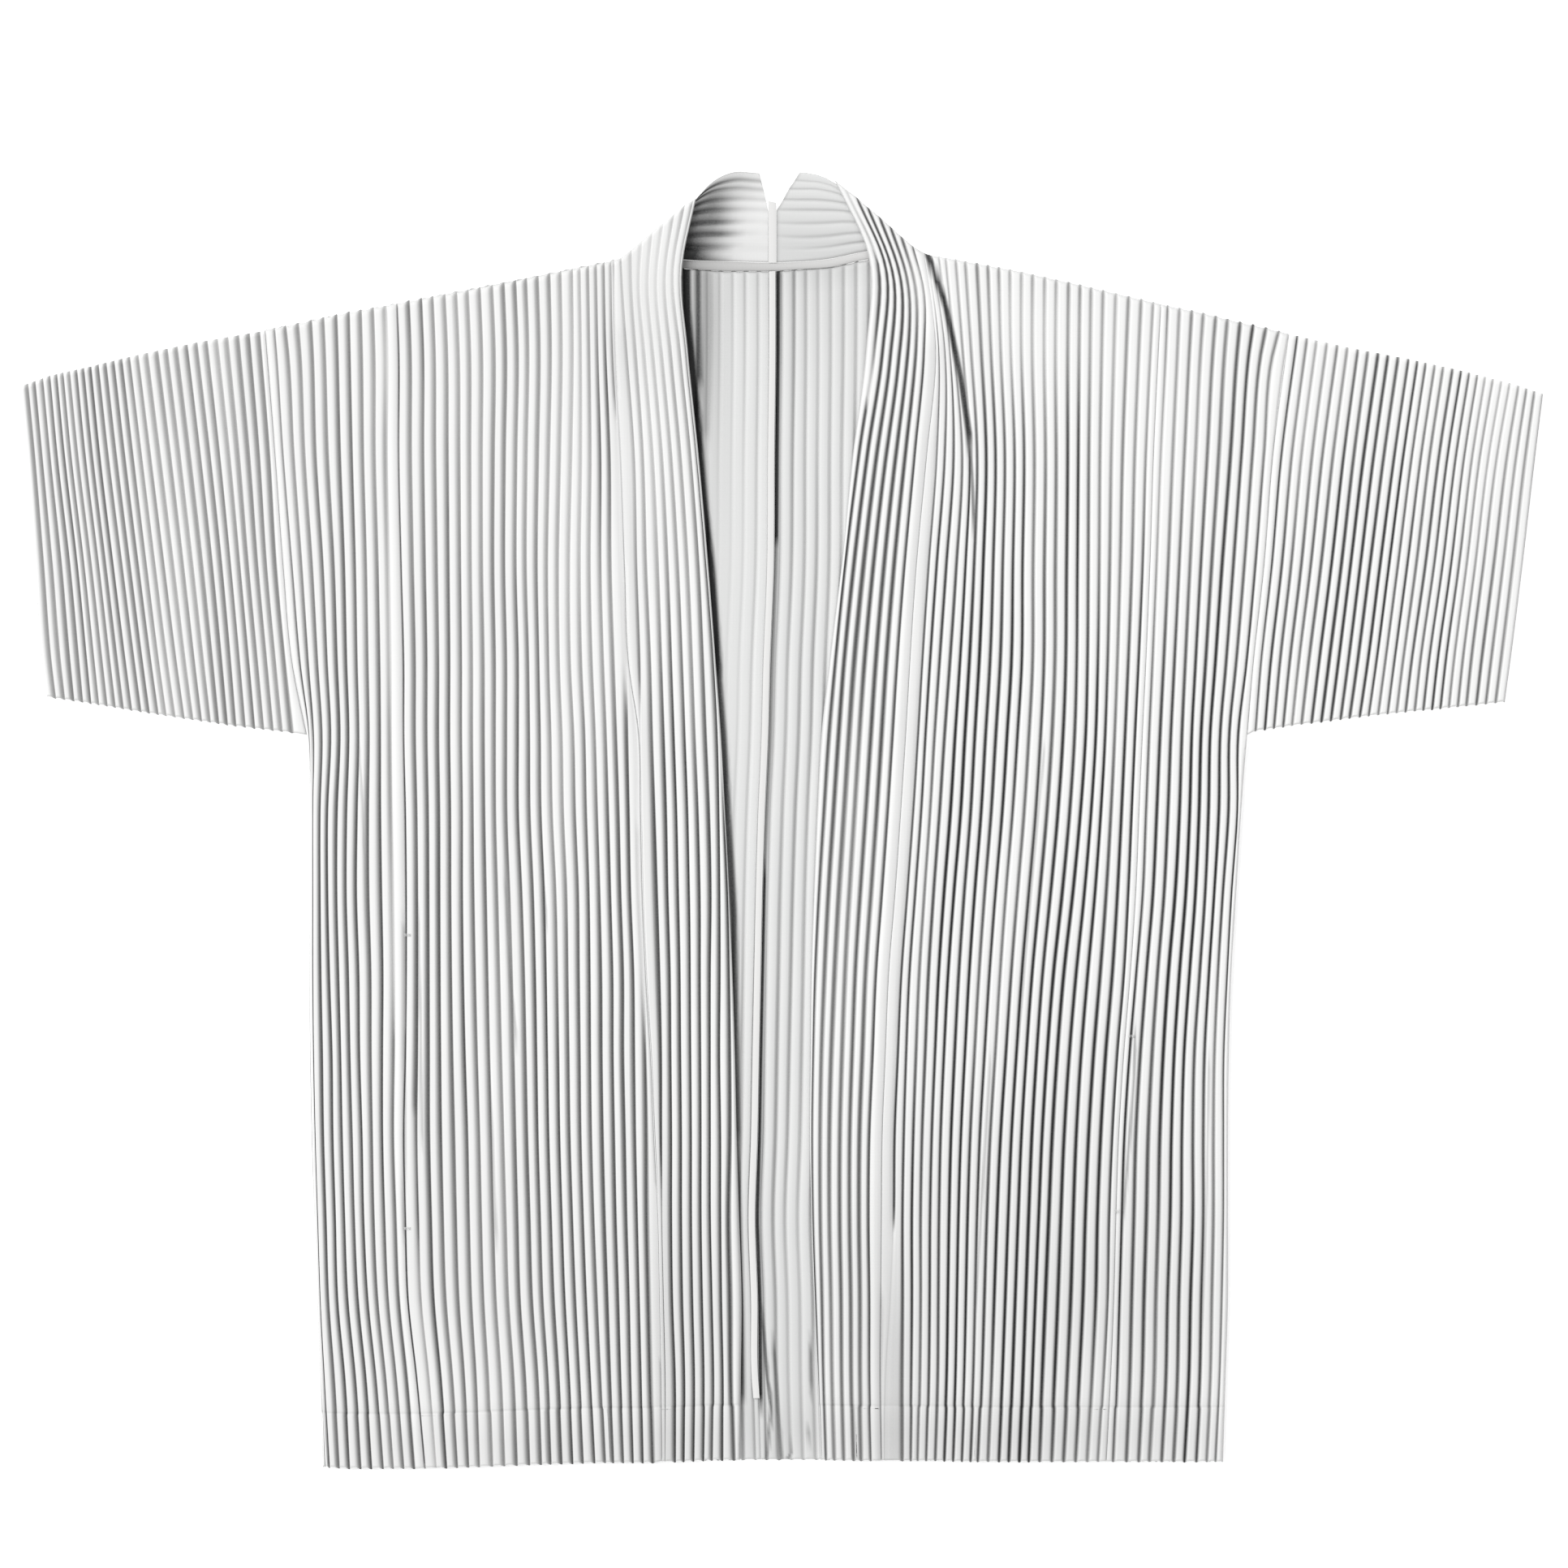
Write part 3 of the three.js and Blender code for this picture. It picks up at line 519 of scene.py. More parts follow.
# ---- Meshes -----------------------------------------------------------------------------------
def shell(name, outer, inner, shade):
    """A closed thin sheet between two grids of points, in millimetres."""
    rows, columns = outer.shape[:2]
    count = rows * columns
    index = np.arange(count).reshape(rows, columns)
    face = np.stack([index[:-1, :-1], index[1:, :-1], index[1:, 1:], index[:-1, 1:]], -1).reshape(-1, 4)
    ring = np.concatenate([index[0, :-1], index[:-1, -1], index[-1, :0:-1], index[:0:-1, 0]])
    following = np.roll(ring, -1)
    wall = np.stack([ring, following, following + count, ring + count], -1)
    faces = np.vstack([face, face[:, ::-1] + count, wall])
    points = np.vstack([outer.reshape(-1, 3), inner.reshape(-1, 3)]) * MM
    low, high = outer[0, 0], outer[-1, -1]
    turn = np.cross(outer[-1, 0] - low, high - outer[-1, 0])[2]
    if turn < 0:
        faces = faces[:, ::-1]
    mesh = bpy.data.meshes.new(name)
    mesh.from_pydata(points.tolist(), [], faces.tolist())
    mesh.polygons.foreach_set("use_smooth", np.ones(len(faces), bool))
    mesh.set_sharp_from_angle(angle=math.radians(75))
    # Painted shade: each point's fold_shade is how far the crepe's colour is darkened towards its dark.
    depth = mesh.attributes.new("fold_shade", "FLOAT", "POINT")
    depth.data.foreach_set("value", np.tile(shade.reshape(-1), 2).astype(np.float32))
    piece = bpy.data.objects.new(name, mesh)
    bpy.context.scene.collection.objects.link(piece)
    return piece


def row_places(pinches, span, step):
    """Rows down a panel: a distance and the share of the line's length that it counts from."""
    near = (0, 0.3, 0.8, 1.5, 2.4, 4.0)
    inner = np.linspace(0, 1, max(int(span / step), 6))[1:-1]
    rows = [(d, 0.0) for d in near]
    rows += [(8 - 16 * f, f) for f in inner]
    for pinch in pinches:
        rows += [(-pinch + d, 1.0) for d in (-1.4, -0.6, 0, 0.6, 1.4)]
    rows += [(-d, 1.0) for d in near]
    return sorted(rows, key=lambda row: row[0] + row[1] * span)


def roll(distance, reach):
    """How much of its height cloth keeps near an edge where it is turned under."""
    share = np.clip(1 - distance / reach, 0, 1)
    return np.sqrt(np.maximum(1 - share * share, 0))


def panel(name, lines, layer, shape, seed=0.0, first="seam", last="seam", hem=(), strength=1.0,
          step=ROW_STEP, lift=(), tuck=TAB_LENGTH, top_tuck=TAB_LENGTH, pressed=PRESSED,
          sharp=SHARP, strips=(), folds=(), painted_shade=PAINTED_SHADE, hem_roll=HEM_ROLL, top_roll=END_ROLL):
    """A pleated panel that lies in one layer. Its first and last edges are a seam, a crease, a
    fold, or the armhole with an open side below."""
    points = [np.asarray(p, float) for _, p in lines]
    points[0] = moved(points[0], points[1], SEAM_GAP / 2)
    points[-1] = moved(points[-1], points[-2], SEAM_GAP / 2)
    widths = [np.linalg.norm(b - a, axis=1).mean() for a, b in zip(points, points[1:])]
    place, rises, crease, closes = stations(
        lines, shape, widths, starts_low=first == "crease", ends_low=last == "crease")
    spans = [length(p) for p in points]
    rows = row_places(hem, np.mean(spans), step)
    distance = np.array([[d + share * span for d, share in rows] for span in spans])
    grid = np.array([along(p, d) for p, d in zip(points, distance)])
    flat = between(grid, place).transpose(1, 0, 2)
    down = between(distance, place).T
    up_from_hem = between(np.array(spans)[:, None] - distance, place).T
    heading = np.gradient(flat, axis=0)
    heading /= np.maximum(np.linalg.norm(heading, axis=2, keepdims=True), 1e-6)

    opened = openness(grid, lines, place, closes)
    rise = rises * opened + STRIP_RISE * (1 - opened)
    x, y = flat[..., 0], flat[..., 1]
    slack = 0.7 * (wander(np.round(crease), y, seed) - 0.5)
    sideways = np.stack([-heading[..., 1], heading[..., 0]], -1)
    inside = np.minimum(place, len(lines) - 1 - place)
    for pinch in hem:
        turned_up = ease((pinch + 1 - up_from_hem) / 3)
        slack = slack + 1.1 * (wander(1.7 * np.round(crease), 0.0, seed + 7) - 0.5) * turned_up
    flat = flat + sideways * (slack * opened * np.clip(inside * 4, 0, 1))[..., None]

    depth = crease_depth(crease, x, y, shape, seed, pressed, sharp, strips)
    pressed_in = (1 - rise) * depth
    low = np.clip(pressed_in, 0, 1)
    height = layer["ridge"] * (1 - low) - 0.12 * wander(np.floor(crease), y, seed + 4)
    # Painted shade: the colour darkens towards each crease as far as the cloth is pressed in, none on a
    # smooth strip, and a dusky line is painted along the top end where the cloth turns under.
    shade = crease_shade(crease, y, shape, seed, pressed_in, strength) * opened
    shade = np.maximum(shade * (closes != PLAIN), 0.3 * np.clip(1 - down / 2, 0, 1))

    edge = np.full(height.shape, 99.0)
    seam_dip = np.zeros(height.shape)
    for side, column in ((first, flat[:, :1]), (last, flat[:, -1:])):
        away = np.linalg.norm(flat - column, axis=2)
        near = np.clip(1 - away / SEAM_DIP, 0, 1)
        if side == "fold":
            edge = np.minimum(edge, away)
        elif side == "seam":
            seam_dip = np.maximum(seam_dip, near)
        elif side == "armhole":
            sewn = ease((y - UNDERARM) / 20)
            seam_dip = np.maximum(seam_dip, near * sewn)
            edge = np.minimum(edge, away + 99 * sewn)
    height = height * (1 - SEAM_DIP_SHARE * seam_dip)
    # Painted shade along each seam's dip and along a free edge where the cloth turns under.
    shade = np.maximum(shade, 0.1 * seam_dip)
    shade = np.maximum(shade, 0.4 * np.clip(1 - edge / EDGE_SHADE, 0, 1))

    # The hem's line of stitches dents the cloth, with painted shade in the dent.
    for pinch in hem:
        close = np.clip(1 - np.abs(up_from_hem - pinch) / STITCH_DENT, 0, 1)
        height = height - 0.3 * close
        shade = shade + 0.08 * close
    # Folds: dents with painted shade along them, and on the back painted cast shadows.
    for path, half_width, dark, dip in folds:
        close = closeness(x, y, path, half_width)
        height = np.maximum(height - dip * close, 0.05)
        shade = np.maximum(shade, dark * close)
    # Painted shade ovals darken the colour of the rest of the cloth.
    shade = np.clip(shade + ovals(x, y, painted_shade) * (1 - shade), 0, 1.05)

    keep = roll(up_from_hem, hem_roll) * roll(edge, EDGE_ROLL) * roll(down, top_roll)
    raised = ovals(x, y, lift)
    floor = layer["floor"] + raised
    outer_z = layer["crease"] + raised + height
    inner_z = np.maximum(outer_z - CLOTH, floor)
    end = floor + 0.05
    outer_z = end + (outer_z - end) * keep
    inner_z = np.minimum(end + (inner_z - end) * keep, outer_z - 0.02)
    inner_z = np.where(keep < 0.05, outer_z - 0.04, inner_z)

    at_hem = np.clip(1 - up_from_hem / TAB_REACH, 0, 1)
    at_top = np.clip(1 - down / TAB_REACH, 0, 1)
    outwards = pressed_in * (tuck * at_hem - top_tuck * at_top)
    flat = flat + heading * outwards[..., None]
    outer = np.concatenate([flat, outer_z[..., None]], -1)
    inner = np.concatenate([flat, inner_z[..., None]], -1)
    return shell(name, outer, inner, shade)


def folded_sleeve(name, lines, shape, seed, body_first, strength):
    """A sleeve cut in one piece: up its front half, over the folded top edge, down its back half."""
    points = [np.asarray(p, float) for _, p in lines]
    side = 0 if body_first else -1
    points[side] = moved(points[side], points[1 if body_first else -2], SEAM_GAP / 2)
    widths = [np.linalg.norm(b - a, axis=1).mean() for a, b in zip(points, points[1:])]
    place, rise, crease, closes = stations(lines, shape, widths, starts_low=False, ends_low=False)
    spans = [length(p) for p in points]
    body = np.linspace(1, 0, int(np.mean(spans) / ROW_STEP))[:-1]
    ends = [(-d, 1.0) for d in (0, 0.3, 0.8, 1.5, 2.6)]
    front = ends + [(3 - 6 * f, f) for f in body[1:]] + [(3.0, 0.0)]
    bend = np.radians([75, 55, 35, 15, -15, -35, -55, -75])
    places = front + [(TOP_EDGE_RADIUS * (1 - math.cos(a)), 0.0) for a in bend] + front[::-1]
    angle = np.concatenate([np.full(len(front), math.pi / 2), bend, np.full(len(front), -math.pi / 2)])
    distance = np.array([[d + share * span for d, share in places] for span in spans])
    grid = np.array([along(p, np.maximum(d, 0.01)) for p, d in zip(points, distance)])
    flat = between(grid, place).transpose(1, 0, 2)
    under = between(np.array(spans)[:, None] - distance, place).T
    down = between(distance, place).T
    away_top = np.array([(p[1] - p[0]) / np.linalg.norm(p[1] - p[0]) for p in points])
    heading = between(away_top, place)

    x, y = flat[..., 0], flat[..., 1]
    slack = 0.6 * (wander(np.round(crease), y, seed) - 0.5)
    inside = np.minimum(place, len(lines) - 1 - place)
    flat = flat + np.array([1.0, 0.0]) * (slack * np.clip(inside * 4, 0, 1))[..., None]
    depth = crease_depth(crease, x, y, shape, seed)
    pressed_in = (1 - rise) * depth
    low = np.clip(pressed_in, 0, 1)
    turn = np.sin(angle)[:, None]
    ridge = np.where(turn > 0, UPPER["ridge"], SLEEVE_UNDER_RIDGE)
    stand = SLEEVE_CREASE + ridge * (1 - low)
    cuff = np.linalg.norm(flat - (flat[:, -1:] if body_first else flat[:, :1]), axis=2)
    seam = np.linalg.norm(flat - (flat[:, :1] if body_first else flat[:, -1:]), axis=2)
    seam_dip = np.clip(1 - seam / SEAM_DIP, 0, 1)
    stand = stand * roll(under, HEM_ROLL) * roll(cuff, CUFF_ROLL) * (1 - SEAM_DIP_SHARE * seam_dip)
    # Painted shade: towards each crease, along the seam's dip, and along the cuff and the underarm end where
    # the cloth turns under.
    shade = crease_shade(crease, y, shape, seed, pressed_in, strength)
    shade = np.maximum(shade * (closes != PLAIN), 0.16 * seam_dip)
    shade = np.maximum(shade, 0.3 * np.clip(1 - np.minimum(cuff, under) / EDGE_SHADE, 0, 1))
    stand = np.maximum(stand, 0.06)
    thin = np.maximum(stand - CLOTH, 0.02)
    tab = pressed_in * TAB_LENGTH
    pull = np.cos(angle)[:, None]
    over = np.clip(1 - under / TAB_REACH, 0, 1) * tab
    top_tab = np.clip(1 - down / TAB_REACH, 0, 1) * tab * pull

    def surface(reach):
        spot = flat + heading * (over - top_tab)[..., None]
        spot = spot - heading * (pull * (reach - 2.2) * 0.35)[..., None] * (pull > 0.2)[..., None]
        z = MIDDLE + turn * reach
        return np.concatenate([spot, z[..., None]], -1)

    return shell(name, surface(stand), surface(thin), shade)


def strip(name, low, high, z_low, z_high, shade=0.0, columns=5, painted_shade=()):
    """A smooth narrow strip of folded cloth between two rows of points."""
    low, high = np.asarray(low, float), np.asarray(high, float)
    places = np.linspace(0, length(low), max(int(length(low) / 4), 8))
    others = np.linspace(0, length(high), len(places))
    low, high = along(low, places), along(high, others)
    share = np.linspace(0, 1, columns)
    flat = low[:, None] * (1 - share[None, :, None]) + high[:, None] * share[None, :, None]
    arch = np.sin(np.pi * np.clip(share, 0.04, 0.96))[None, :] ** 0.35
    top = z_low + (z_high - z_low) * (0.55 + 0.45 * arch)
    top = np.broadcast_to(top, flat.shape[:2])
    outer = np.concatenate([flat, top[..., None]], -1)
    inner = np.concatenate([flat, np.full(top.shape, z_low)[..., None]], -1)
    # Painted shade: darker towards both edges, where the strip turns down, and in the painted shade ovals
    # given.
    dark = shade * (1 - arch) * 3 + shade * 0.3 + ovals(flat[..., 0], flat[..., 1], painted_shade)
    return shell(name, outer, inner, dark)


def stitches(name, paths, stitch=2.1, gap=0.7, radius=0.17):
    """Lines of machine stitches: short rounded lengths of thread laid along each path."""
    points, faces = [], []
    sides = 6
    profile = ((0.0, 0.25), (0.18, 0.85), (0.5, 1.0), (0.82, 0.85), (1.0, 0.25))
    for path in paths:
        path = np.asarray(path, float)
        place, total = 0.0, length(path)
        while place + stitch <= total + 1e-6:
            ends = along(path, np.array([place, place + stitch]))
            run = ends[1] - ends[0]
            run /= np.linalg.norm(run)
            aside = np.cross(run, (0, 0, 1.0))
            aside /= np.linalg.norm(aside)
            upward = np.cross(aside, run)
            base = len(points)
            for share, wide in profile:
                middle = ends[0] + run * stitch * share + upward * 0.1
                for k in range(sides):
                    angle = 2 * math.pi * k / sides
                    around = aside * math.cos(angle) + upward * math.sin(angle)
                    points.append(middle + radius * wide * around)
            for ring in range(len(profile) - 1):
                for k in range(sides):
                    a, b = base + ring * sides + k, base + ring * sides + (k + 1) % sides
                    faces.append((a, b, b + sides, a + sides))
            faces.append(tuple(base + k for k in reversed(range(sides))))
            faces.append(tuple(base + (len(profile) - 1) * sides + k for k in range(sides)))
            place += stitch + gap
    mesh = bpy.data.meshes.new(name)
    mesh.from_pydata((np.array(points) * MM).tolist(), [], faces)
    mesh.polygons.foreach_set("use_smooth", np.ones(len(faces), bool))
    piece = bpy.data.objects.new(name, mesh)
    bpy.context.scene.collection.objects.link(piece)
    return piece


# ---- Finishes ---------------------------------------------------------------------------------
WAVES_PER_UNIT = 6.3    # bands that a wave texture draws in one unit at scale 1


def linear(hex_colour):
    """An sRGB hex colour as linear red, green, blue and alpha."""
    channels = [int(hex_colour[i:i + 2], 16) / 255 for i in (1, 3, 5)]
    return [c / 12.92 if c <= 0.04045 else ((c + 0.055) / 1.055) ** 2.4 for c in channels] + [1.0]


def add(tree, kind, settings=(), **inputs):
    """Adds a node. Inputs are named as its sockets, with _ for a space, or by number after a _."""
    node = tree.nodes.new(kind)
    for key, value in dict(settings).items():
        setattr(node, key, value)
    for key, value in inputs.items():
        number = key[1:].isdigit()
        socket = node.inputs[int(key[1:]) if number else key.replace("_", " ")]
        if isinstance(value, bpy.types.NodeSocket):
            tree.links.new(value, socket)
        else:
            socket.default_value = value
    return node


def finish(name):
    material = bpy.data.materials.new(name)
    material.use_nodes = True
    tree = material.node_tree
    tree.nodes.clear()
    return material, tree


def crepe(name, light, cool, dark, roughness):
    """Polyester crepe, woven of twisted yarn and heat-set in pleats: matt, with a faint pebbled
    grain and a soft sheen at a low angle; where the cloth turns into a crease, shade is painted
    into its colour towards dark."""
    thread = 0.9            # mm; the yarns are 0.25 mm apart and are drawn coarser, or they vanish
    material, tree = finish(name)
    place = add(tree, "ShaderNodeTexCoord").outputs["Object"]
    patch = add(tree, "ShaderNodeTexNoise", Vector=place, Scale=14.0, Detail=3.0)
    tint = add(tree, "ShaderNodeMix", {"data_type": "RGBA"}, _0=patch.outputs["Fac"],
               _6=linear(light), _7=linear(cool))
    # Painted shade: each point's fold_shade, grained a little, mixes the tint towards dark.
    fold = add(tree, "ShaderNodeAttribute", {"attribute_name": "fold_shade"})
    grain = add(tree, "ShaderNodeTexNoise", Vector=place, Scale=1 / (thread * MM), Detail=2.0)
    speck = add(tree, "ShaderNodeMapRange", _0=grain.outputs["Fac"], _1=0.3, _2=0.7, _3=0.94, _4=1.0)
    shadow = add(tree, "ShaderNodeMath", {"operation": "MULTIPLY"},
                 _0=fold.outputs["Fac"], _1=speck.outputs["Result"])
    colour = add(tree, "ShaderNodeMix", {"data_type": "RGBA"}, _0=shadow.outputs[0],
                 _6=tint.outputs[2], _7=linear(dark))
    rough = add(tree, "ShaderNodeMapRange", _0=grain.outputs["Fac"], _1=0.0, _2=1.0,
                _3=roughness - 0.06, _4=roughness + 0.06)
    warp, weft = [
        add(tree, "ShaderNodeTexWave", {"wave_type": "BANDS", "bands_direction": direction},
            Vector=place, Scale=1 / (thread * MM) / WAVES_PER_UNIT, Distortion=1.5)
        for direction in ("X", "Y")]
    weave = add(tree, "ShaderNodeMath", {"operation": "ADD"},
                _0=warp.outputs["Fac"], _1=weft.outputs["Fac"])
    relief = add(tree, "ShaderNodeBump", Strength=0.12, Distance=0.0001, Height=weave.outputs[0])
    cloth = add(tree, "ShaderNodeBsdfPrincipled", Base_Color=colour.outputs[2], Normal=relief.outputs[0],
                Roughness=rough.outputs["Result"], IOR=1.54, Sheen_Weight=0.12, Sheen_Roughness=0.4)
    add(tree, "ShaderNodeOutputMaterial", Surface=cloth.outputs[0])
    return material


def sewing_thread(name):
    """Spun polyester thread, dyed to the cloth, with the light and shade of its twist painted in as diagonal
    bands.
    """
    material, tree = finish(name)
    place = add(tree, "ShaderNodeTexCoord").outputs["Object"]
    # Painted light and shade: the twist's bands mix a darker and a lighter grey.
    twist = add(tree, "ShaderNodeTexWave", {"bands_direction": "DIAGONAL"}, Vector=place, Scale=400.0)
    colour = add(tree, "ShaderNodeMix", {"data_type": "RGBA"}, _0=twist.outputs["Fac"],
                 _6=linear("#c4c5c5"), _7=linear("#eeeeed"))
    yarn = add(tree, "ShaderNodeBsdfPrincipled", Base_Color=colour.outputs[2], Roughness=0.55,
               IOR=1.54, Sheen_Weight=0.2)
    add(tree, "ShaderNodeOutputMaterial", Surface=yarn.outputs[0])
    return material


def paper_floor(name):
    """Matt white background paper, so bright that it barely takes a shadow."""
    material, tree = finish(name)
    place = add(tree, "ShaderNodeTexCoord").outputs["Object"]
    fibre = add(tree, "ShaderNodeTexNoise", Vector=place, Scale=60.0, Detail=4.0)
    colour = add(tree, "ShaderNodeMix", {"data_type": "RGBA"}, _0=fibre.outputs["Fac"],
                 _6=linear("#fdfdfd"), _7=linear("#fafafa"))
    paper = add(tree, "ShaderNodeBsdfPrincipled", Base_Color=colour.outputs[2], Roughness=0.9,
                Emission_Color=linear("#ffffff"), Emission_Strength=0.45)
    add(tree, "ShaderNodeOutputMaterial", Surface=paper.outputs[0])
    return material


PLEATED = crepe("pleated_polyester_crepe", "#f5f5f4", "#efefef", "#1a1b1c", 0.62)
# The same crepe in a darker copy for the inside of the back and the neckband: painted shade for cloth that
# lies in the lower layer.
SHADED_INNER = crepe("pleated_crepe_inner_face_painted_shade", "#e3e3e2", "#dfe0e0", "#18191a", 0.7)
# The binding, the centre-back lip and the collar's seam allowance: the same crepe, pressed smooth, in a
# darker copy with painted shade.
BINDING = crepe("pressed_crepe_binding", "#e9e8e7", "#e5e5e4", "#2a2b2c", 0.66)
THREAD = sewing_thread("spun_polyester_thread")


def sew(piece, material, nodes=()):
    piece.data.materials.append(material)
    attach(piece, "root")
    if nodes:
        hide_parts(*nodes)
    return piece


# ---- Lower layer ------------------------------------------------------------------------------
def neckline_at(x):
    return float(np.interp(x, [p[0] for p in NECKLINE], [p[1] for p in NECKLINE]))


def back_lines(side, corner_pleat, corner_x, armhole):
    """Creases one pitch apart from the centre seam to the neck's corner, then on to the side."""
    def crease(pleat, top_x=None):
        away = side * (BACK_STRIP + pleat * BACK_PITCH)
        points = [(x + away, y) for x, y in CENTRE_BACK]
        top_x = points[0][0] if top_x is None else top_x
        points[0] = (top_x, neckline_at(top_x))
        return pleat, points
    return [(0, CENTRE_BACK), crease(0), crease(4), crease(7), crease(corner_pleat, corner_x),
            (35, armhole)]


back_right = panel(
    "back_right_cloth", back_lines(-1, 13, -101.5, RIGHT["armhole"][1]), LOWER, SOFT,
    seed=0.4, last="armhole", strength=0.4, pressed=BACK_PRESSED, folds=BACK_FOLDS, painted_shade=BACK_PAINTED_SHADE)
back_left = panel(
    "back_left_cloth", back_lines(1, 11, 86, LEFT["armhole"][1]), LOWER, SOFT,
    seed=2.1, last="armhole", strength=0.54, pressed=BACK_PRESSED, sharp=(), folds=BACK_FOLDS,
    painted_shade=BACK_PAINTED_SHADE)
sew(back_right, SHADED_INNER, ["back_right"])
sew(back_left, SHADED_INNER, ["back_left"])

lip_line = np.asarray([*CENTRE_BACK[:-1], (-12.8, -349)], float)
lip = strip("centre_back_allowance", lip_line - (4.2, 0), lip_line - (0.4, 0), 2.75, 3.5)
sew(lip, BINDING, ["centre_back_seam"])

collar_right = panel(
    "collar_right_cloth", RIGHT_COLLAR, LOWER, ROLLED, seed=1.0, first="seam", last="fold", step=5,
    strength=0.75, tuck=0, top_tuck=0, pressed=COLLAR_PRESSED, sharp=COLLAR_SHARP, painted_shade=COLLAR_PAINTED_SHADE,
    hem_roll=0.3)
collar_left = panel(
    "collar_left_cloth", LEFT_COLLAR, LOWER, SOFT, seed=3.0, first="seam", last="fold", step=5,
    strength=0.4, tuck=0, top_tuck=0, pressed=COLLAR_PRESSED, sharp=(), painted_shade=COLLAR_PAINTED_SHADE,
    top_roll=0.3)
sew(collar_right, PLEATED, ["collar_right"])
sew(collar_left, SHADED_INNER, ["collar_left"])
allowance = strip("collar_seam_allowance", ((-7.9, 336.4), (-7.9, 350), (-7.9, 362), (-7.8, 373.5)),
                  ((-3.1, 336.4), (-3.1, 350), (-3.1, 362), (-3.2, 372.5)), 1.9, 2.5, shade=0.03)
sew(allowance, BINDING)

binding_low = [(x, neckline_at(x) + 0.3) for x in (-92, -59, -36.4, -20, -4, 11, 28.4, 51.2, 80)]
collar_seam = [*RIGHT_COLLAR[0][1], *LEFT_COLLAR[0][1]]
binding_high = [(x, float(np.interp(x, *zip(*collar_seam))) - 0.3)
                for x in (-86, -65, -46.5, -28.5, -6, 11, 28, 47.5, 72.5)]
binding = strip("neck_binding_cloth", binding_low, binding_high, 0.1, 2.1, shade=0.05, columns=9,
                painted_shade=BINDING_PAINTED_SHADE)
sew(binding, BINDING, ["neck_binding"])


# ---- Upper layer ------------------------------------------------------------------------------
def closed(lines):
    """Repeats the last pleat number, so that the strip beside the last seam is plain."""
    return lines[:-1] + [(lines[-2][0], lines[-1][1])]


right_side = closed([RIGHT[k] for k in ("armhole", "side0", "side1", "side3", "side6", "side9", "pocket")])
right_centre = closed([RIGHT[k] for k in (
    "pocket", "centre5", "centre10", "centre15", "centre19", "centre20", "centre21", "neck_seam")])
left_centre = closed([LEFT[k] for k in (
    "neck_seam", "centre1", "centre2", "centre4", "centre6", "centre11", "centre17", "centre22",
    "pocket")])
left_side = closed([LEFT[k] for k in ("pocket", "side0", "side3", "side6", "side8", "side9", "armhole")])

front_pieces = {        # lines, kind of pleat, seed, first and last edge, how dark the shade painted into its creases is
    "front_side_right": (right_side, LEANING, 0.0, "armhole", "crease", 0.86),
    "front_centre_right": (right_centre, LEANING, 1.3, "crease", "seam", 0.86),
    "band_right": (list(RIGHT_BAND.values()), LEANING, 2.2, "seam", "fold", 0.9),
    "band_left": (list(LEFT_BAND.values()), CRISP, 3.1, "fold", "seam", 0.85),
    "front_centre_left": (left_centre, EVEN, 4.0, "seam", "seam", 1.0),
    "front_side_left": (left_side, EVEN, 5.2, "seam", "armhole", 1.0),
}
for node, (lines, shape, seed, first, last, strength) in front_pieces.items():
    piece = panel(
        node + "_cloth", lines, UPPER, shape, seed=seed, first=first, last=last, hem=(HEM_DEPTH,),
        strength=strength, lift=RAISED, top_tuck=0.15 if "band" in node else TAB_LENGTH,
        strips=FRONT_STRIPS, folds=FRONT_FOLDS)
    sew(piece, PLEATED, [node])

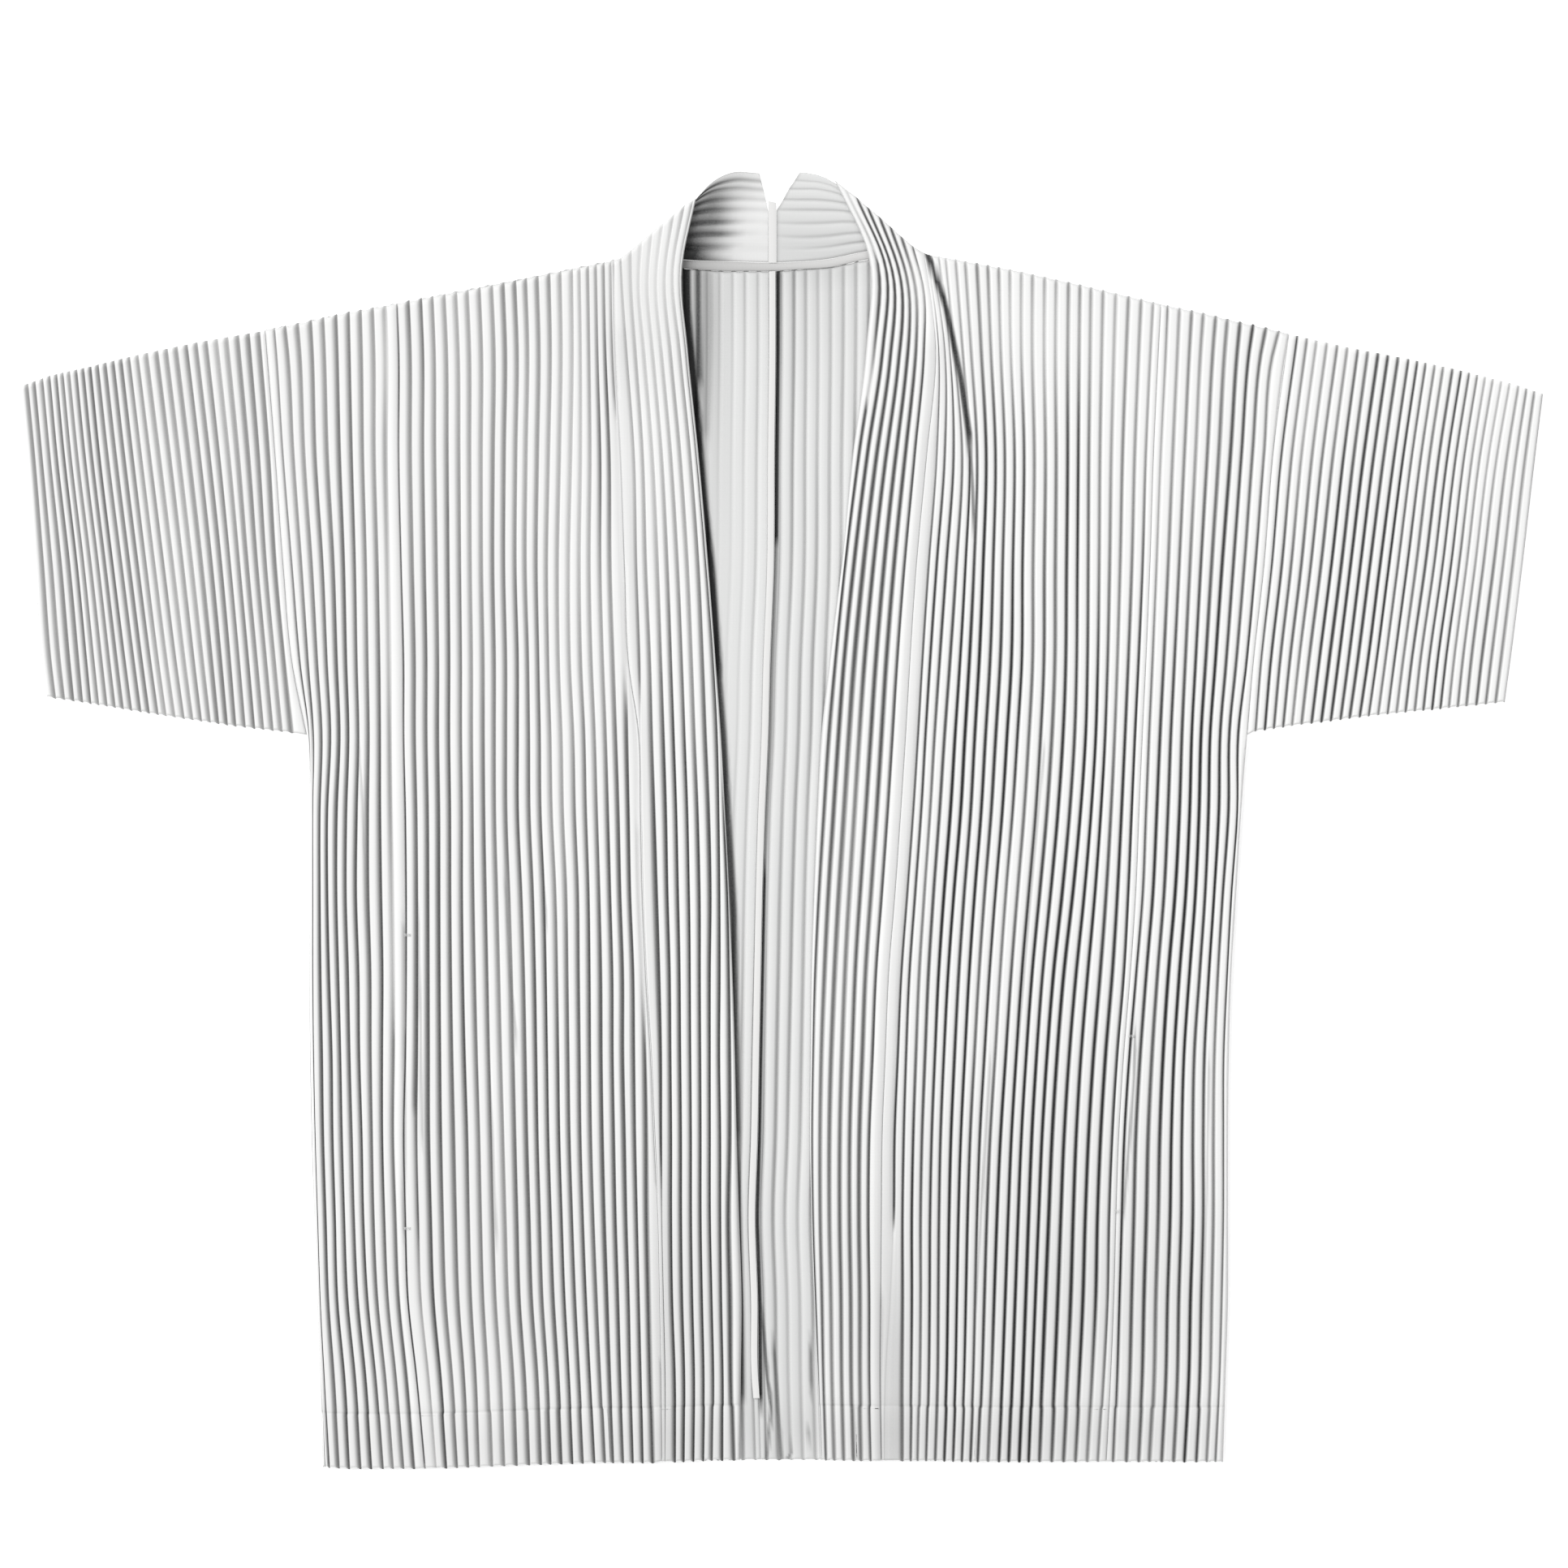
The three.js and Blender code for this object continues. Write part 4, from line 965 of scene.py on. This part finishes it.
sleeve_right = folded_sleeve("sleeve_right_cloth", RIGHT_SLEEVE, LEANING_SLEEVE, 0.7, False, 0.72)
sleeve_left = folded_sleeve("sleeve_left_cloth", LEFT_SLEEVE, EVEN, 2.9, True, 0.9)
sew(sleeve_right, PLEATED, ["sleeve_front_right", "sleeve_back_right"])
sew(sleeve_left, PLEATED, ["sleeve_front_left", "sleeve_back_left"])


# ---- Stitching --------------------------------------------------------------------------------
def tack(x, y, across, z=6.15, rows=3):
    """A bar tack: a few stitches side by side that hold the end of a pocket's opening."""
    return [[(x - across / 2, y + 0.55 * k, z), (x + across / 2, y + 0.55 * k, z)] for k in range(rows)]


pocket_ends = ((-225.6, -247), (-225.6, -70), (202.6, -236.5), (211, -131))
pocket_tacks = stitches(
    "pocket_tacks", [line for x, y in pocket_ends for line in tack(x, y, 4.4)], 2.0, 0.2)
sew(pocket_tacks, THREAD)

# ---- Floor, light and camera ------------------------------------------------------------------
bpy.ops.mesh.primitive_grid_add(x_subdivisions=8, y_subdivisions=8, size=16, location=(0, 0, -0.0005))
floor = bpy.context.object
floor.name = "paper_floor"
floor.data.materials.append(paper_floor("matt_background_paper"))


def key_light(name, place, width, strength):
    """A broad far light that falls evenly on the whole jacket, from the direction of place."""
    light = bpy.data.lights.new(name, "SUN")
    light.angle, light.energy = math.radians(width), strength
    lamp = bpy.data.objects.new(name, light)
    lamp.location = place
    lamp.rotation_euler = (math.atan2(math.hypot(place[0], place[1]), place[2]), 0,
                           math.atan2(place[0], -place[1]))
    bpy.context.scene.collection.objects.link(lamp)


key_light("key_softbox", (-1.6, 1.1, 1.9), 40, 1.95)
world = bpy.data.worlds.new("studio")
world.use_nodes = True
world.node_tree.nodes["Background"].inputs["Color"].default_value = linear("#ffffff")
world.node_tree.nodes["Background"].inputs["Strength"].default_value = 0.62
scene = bpy.context.scene
scene.world = world
scene.view_settings.view_transform = "Standard"

VIEW_WIDTH, VIEW_CENTRE, CAMERA_HEIGHT = 0.9467, (0.0015, 0.0216), 6.0
camera_data = bpy.data.cameras.new("overhead")
camera_data.sensor_width = 36
camera_data.lens = 36 * CAMERA_HEIGHT / VIEW_WIDTH
camera = bpy.data.objects.new("overhead", camera_data)
camera.location = (*VIEW_CENTRE, CAMERA_HEIGHT)
scene.collection.objects.link(camera)
scene.camera = camera
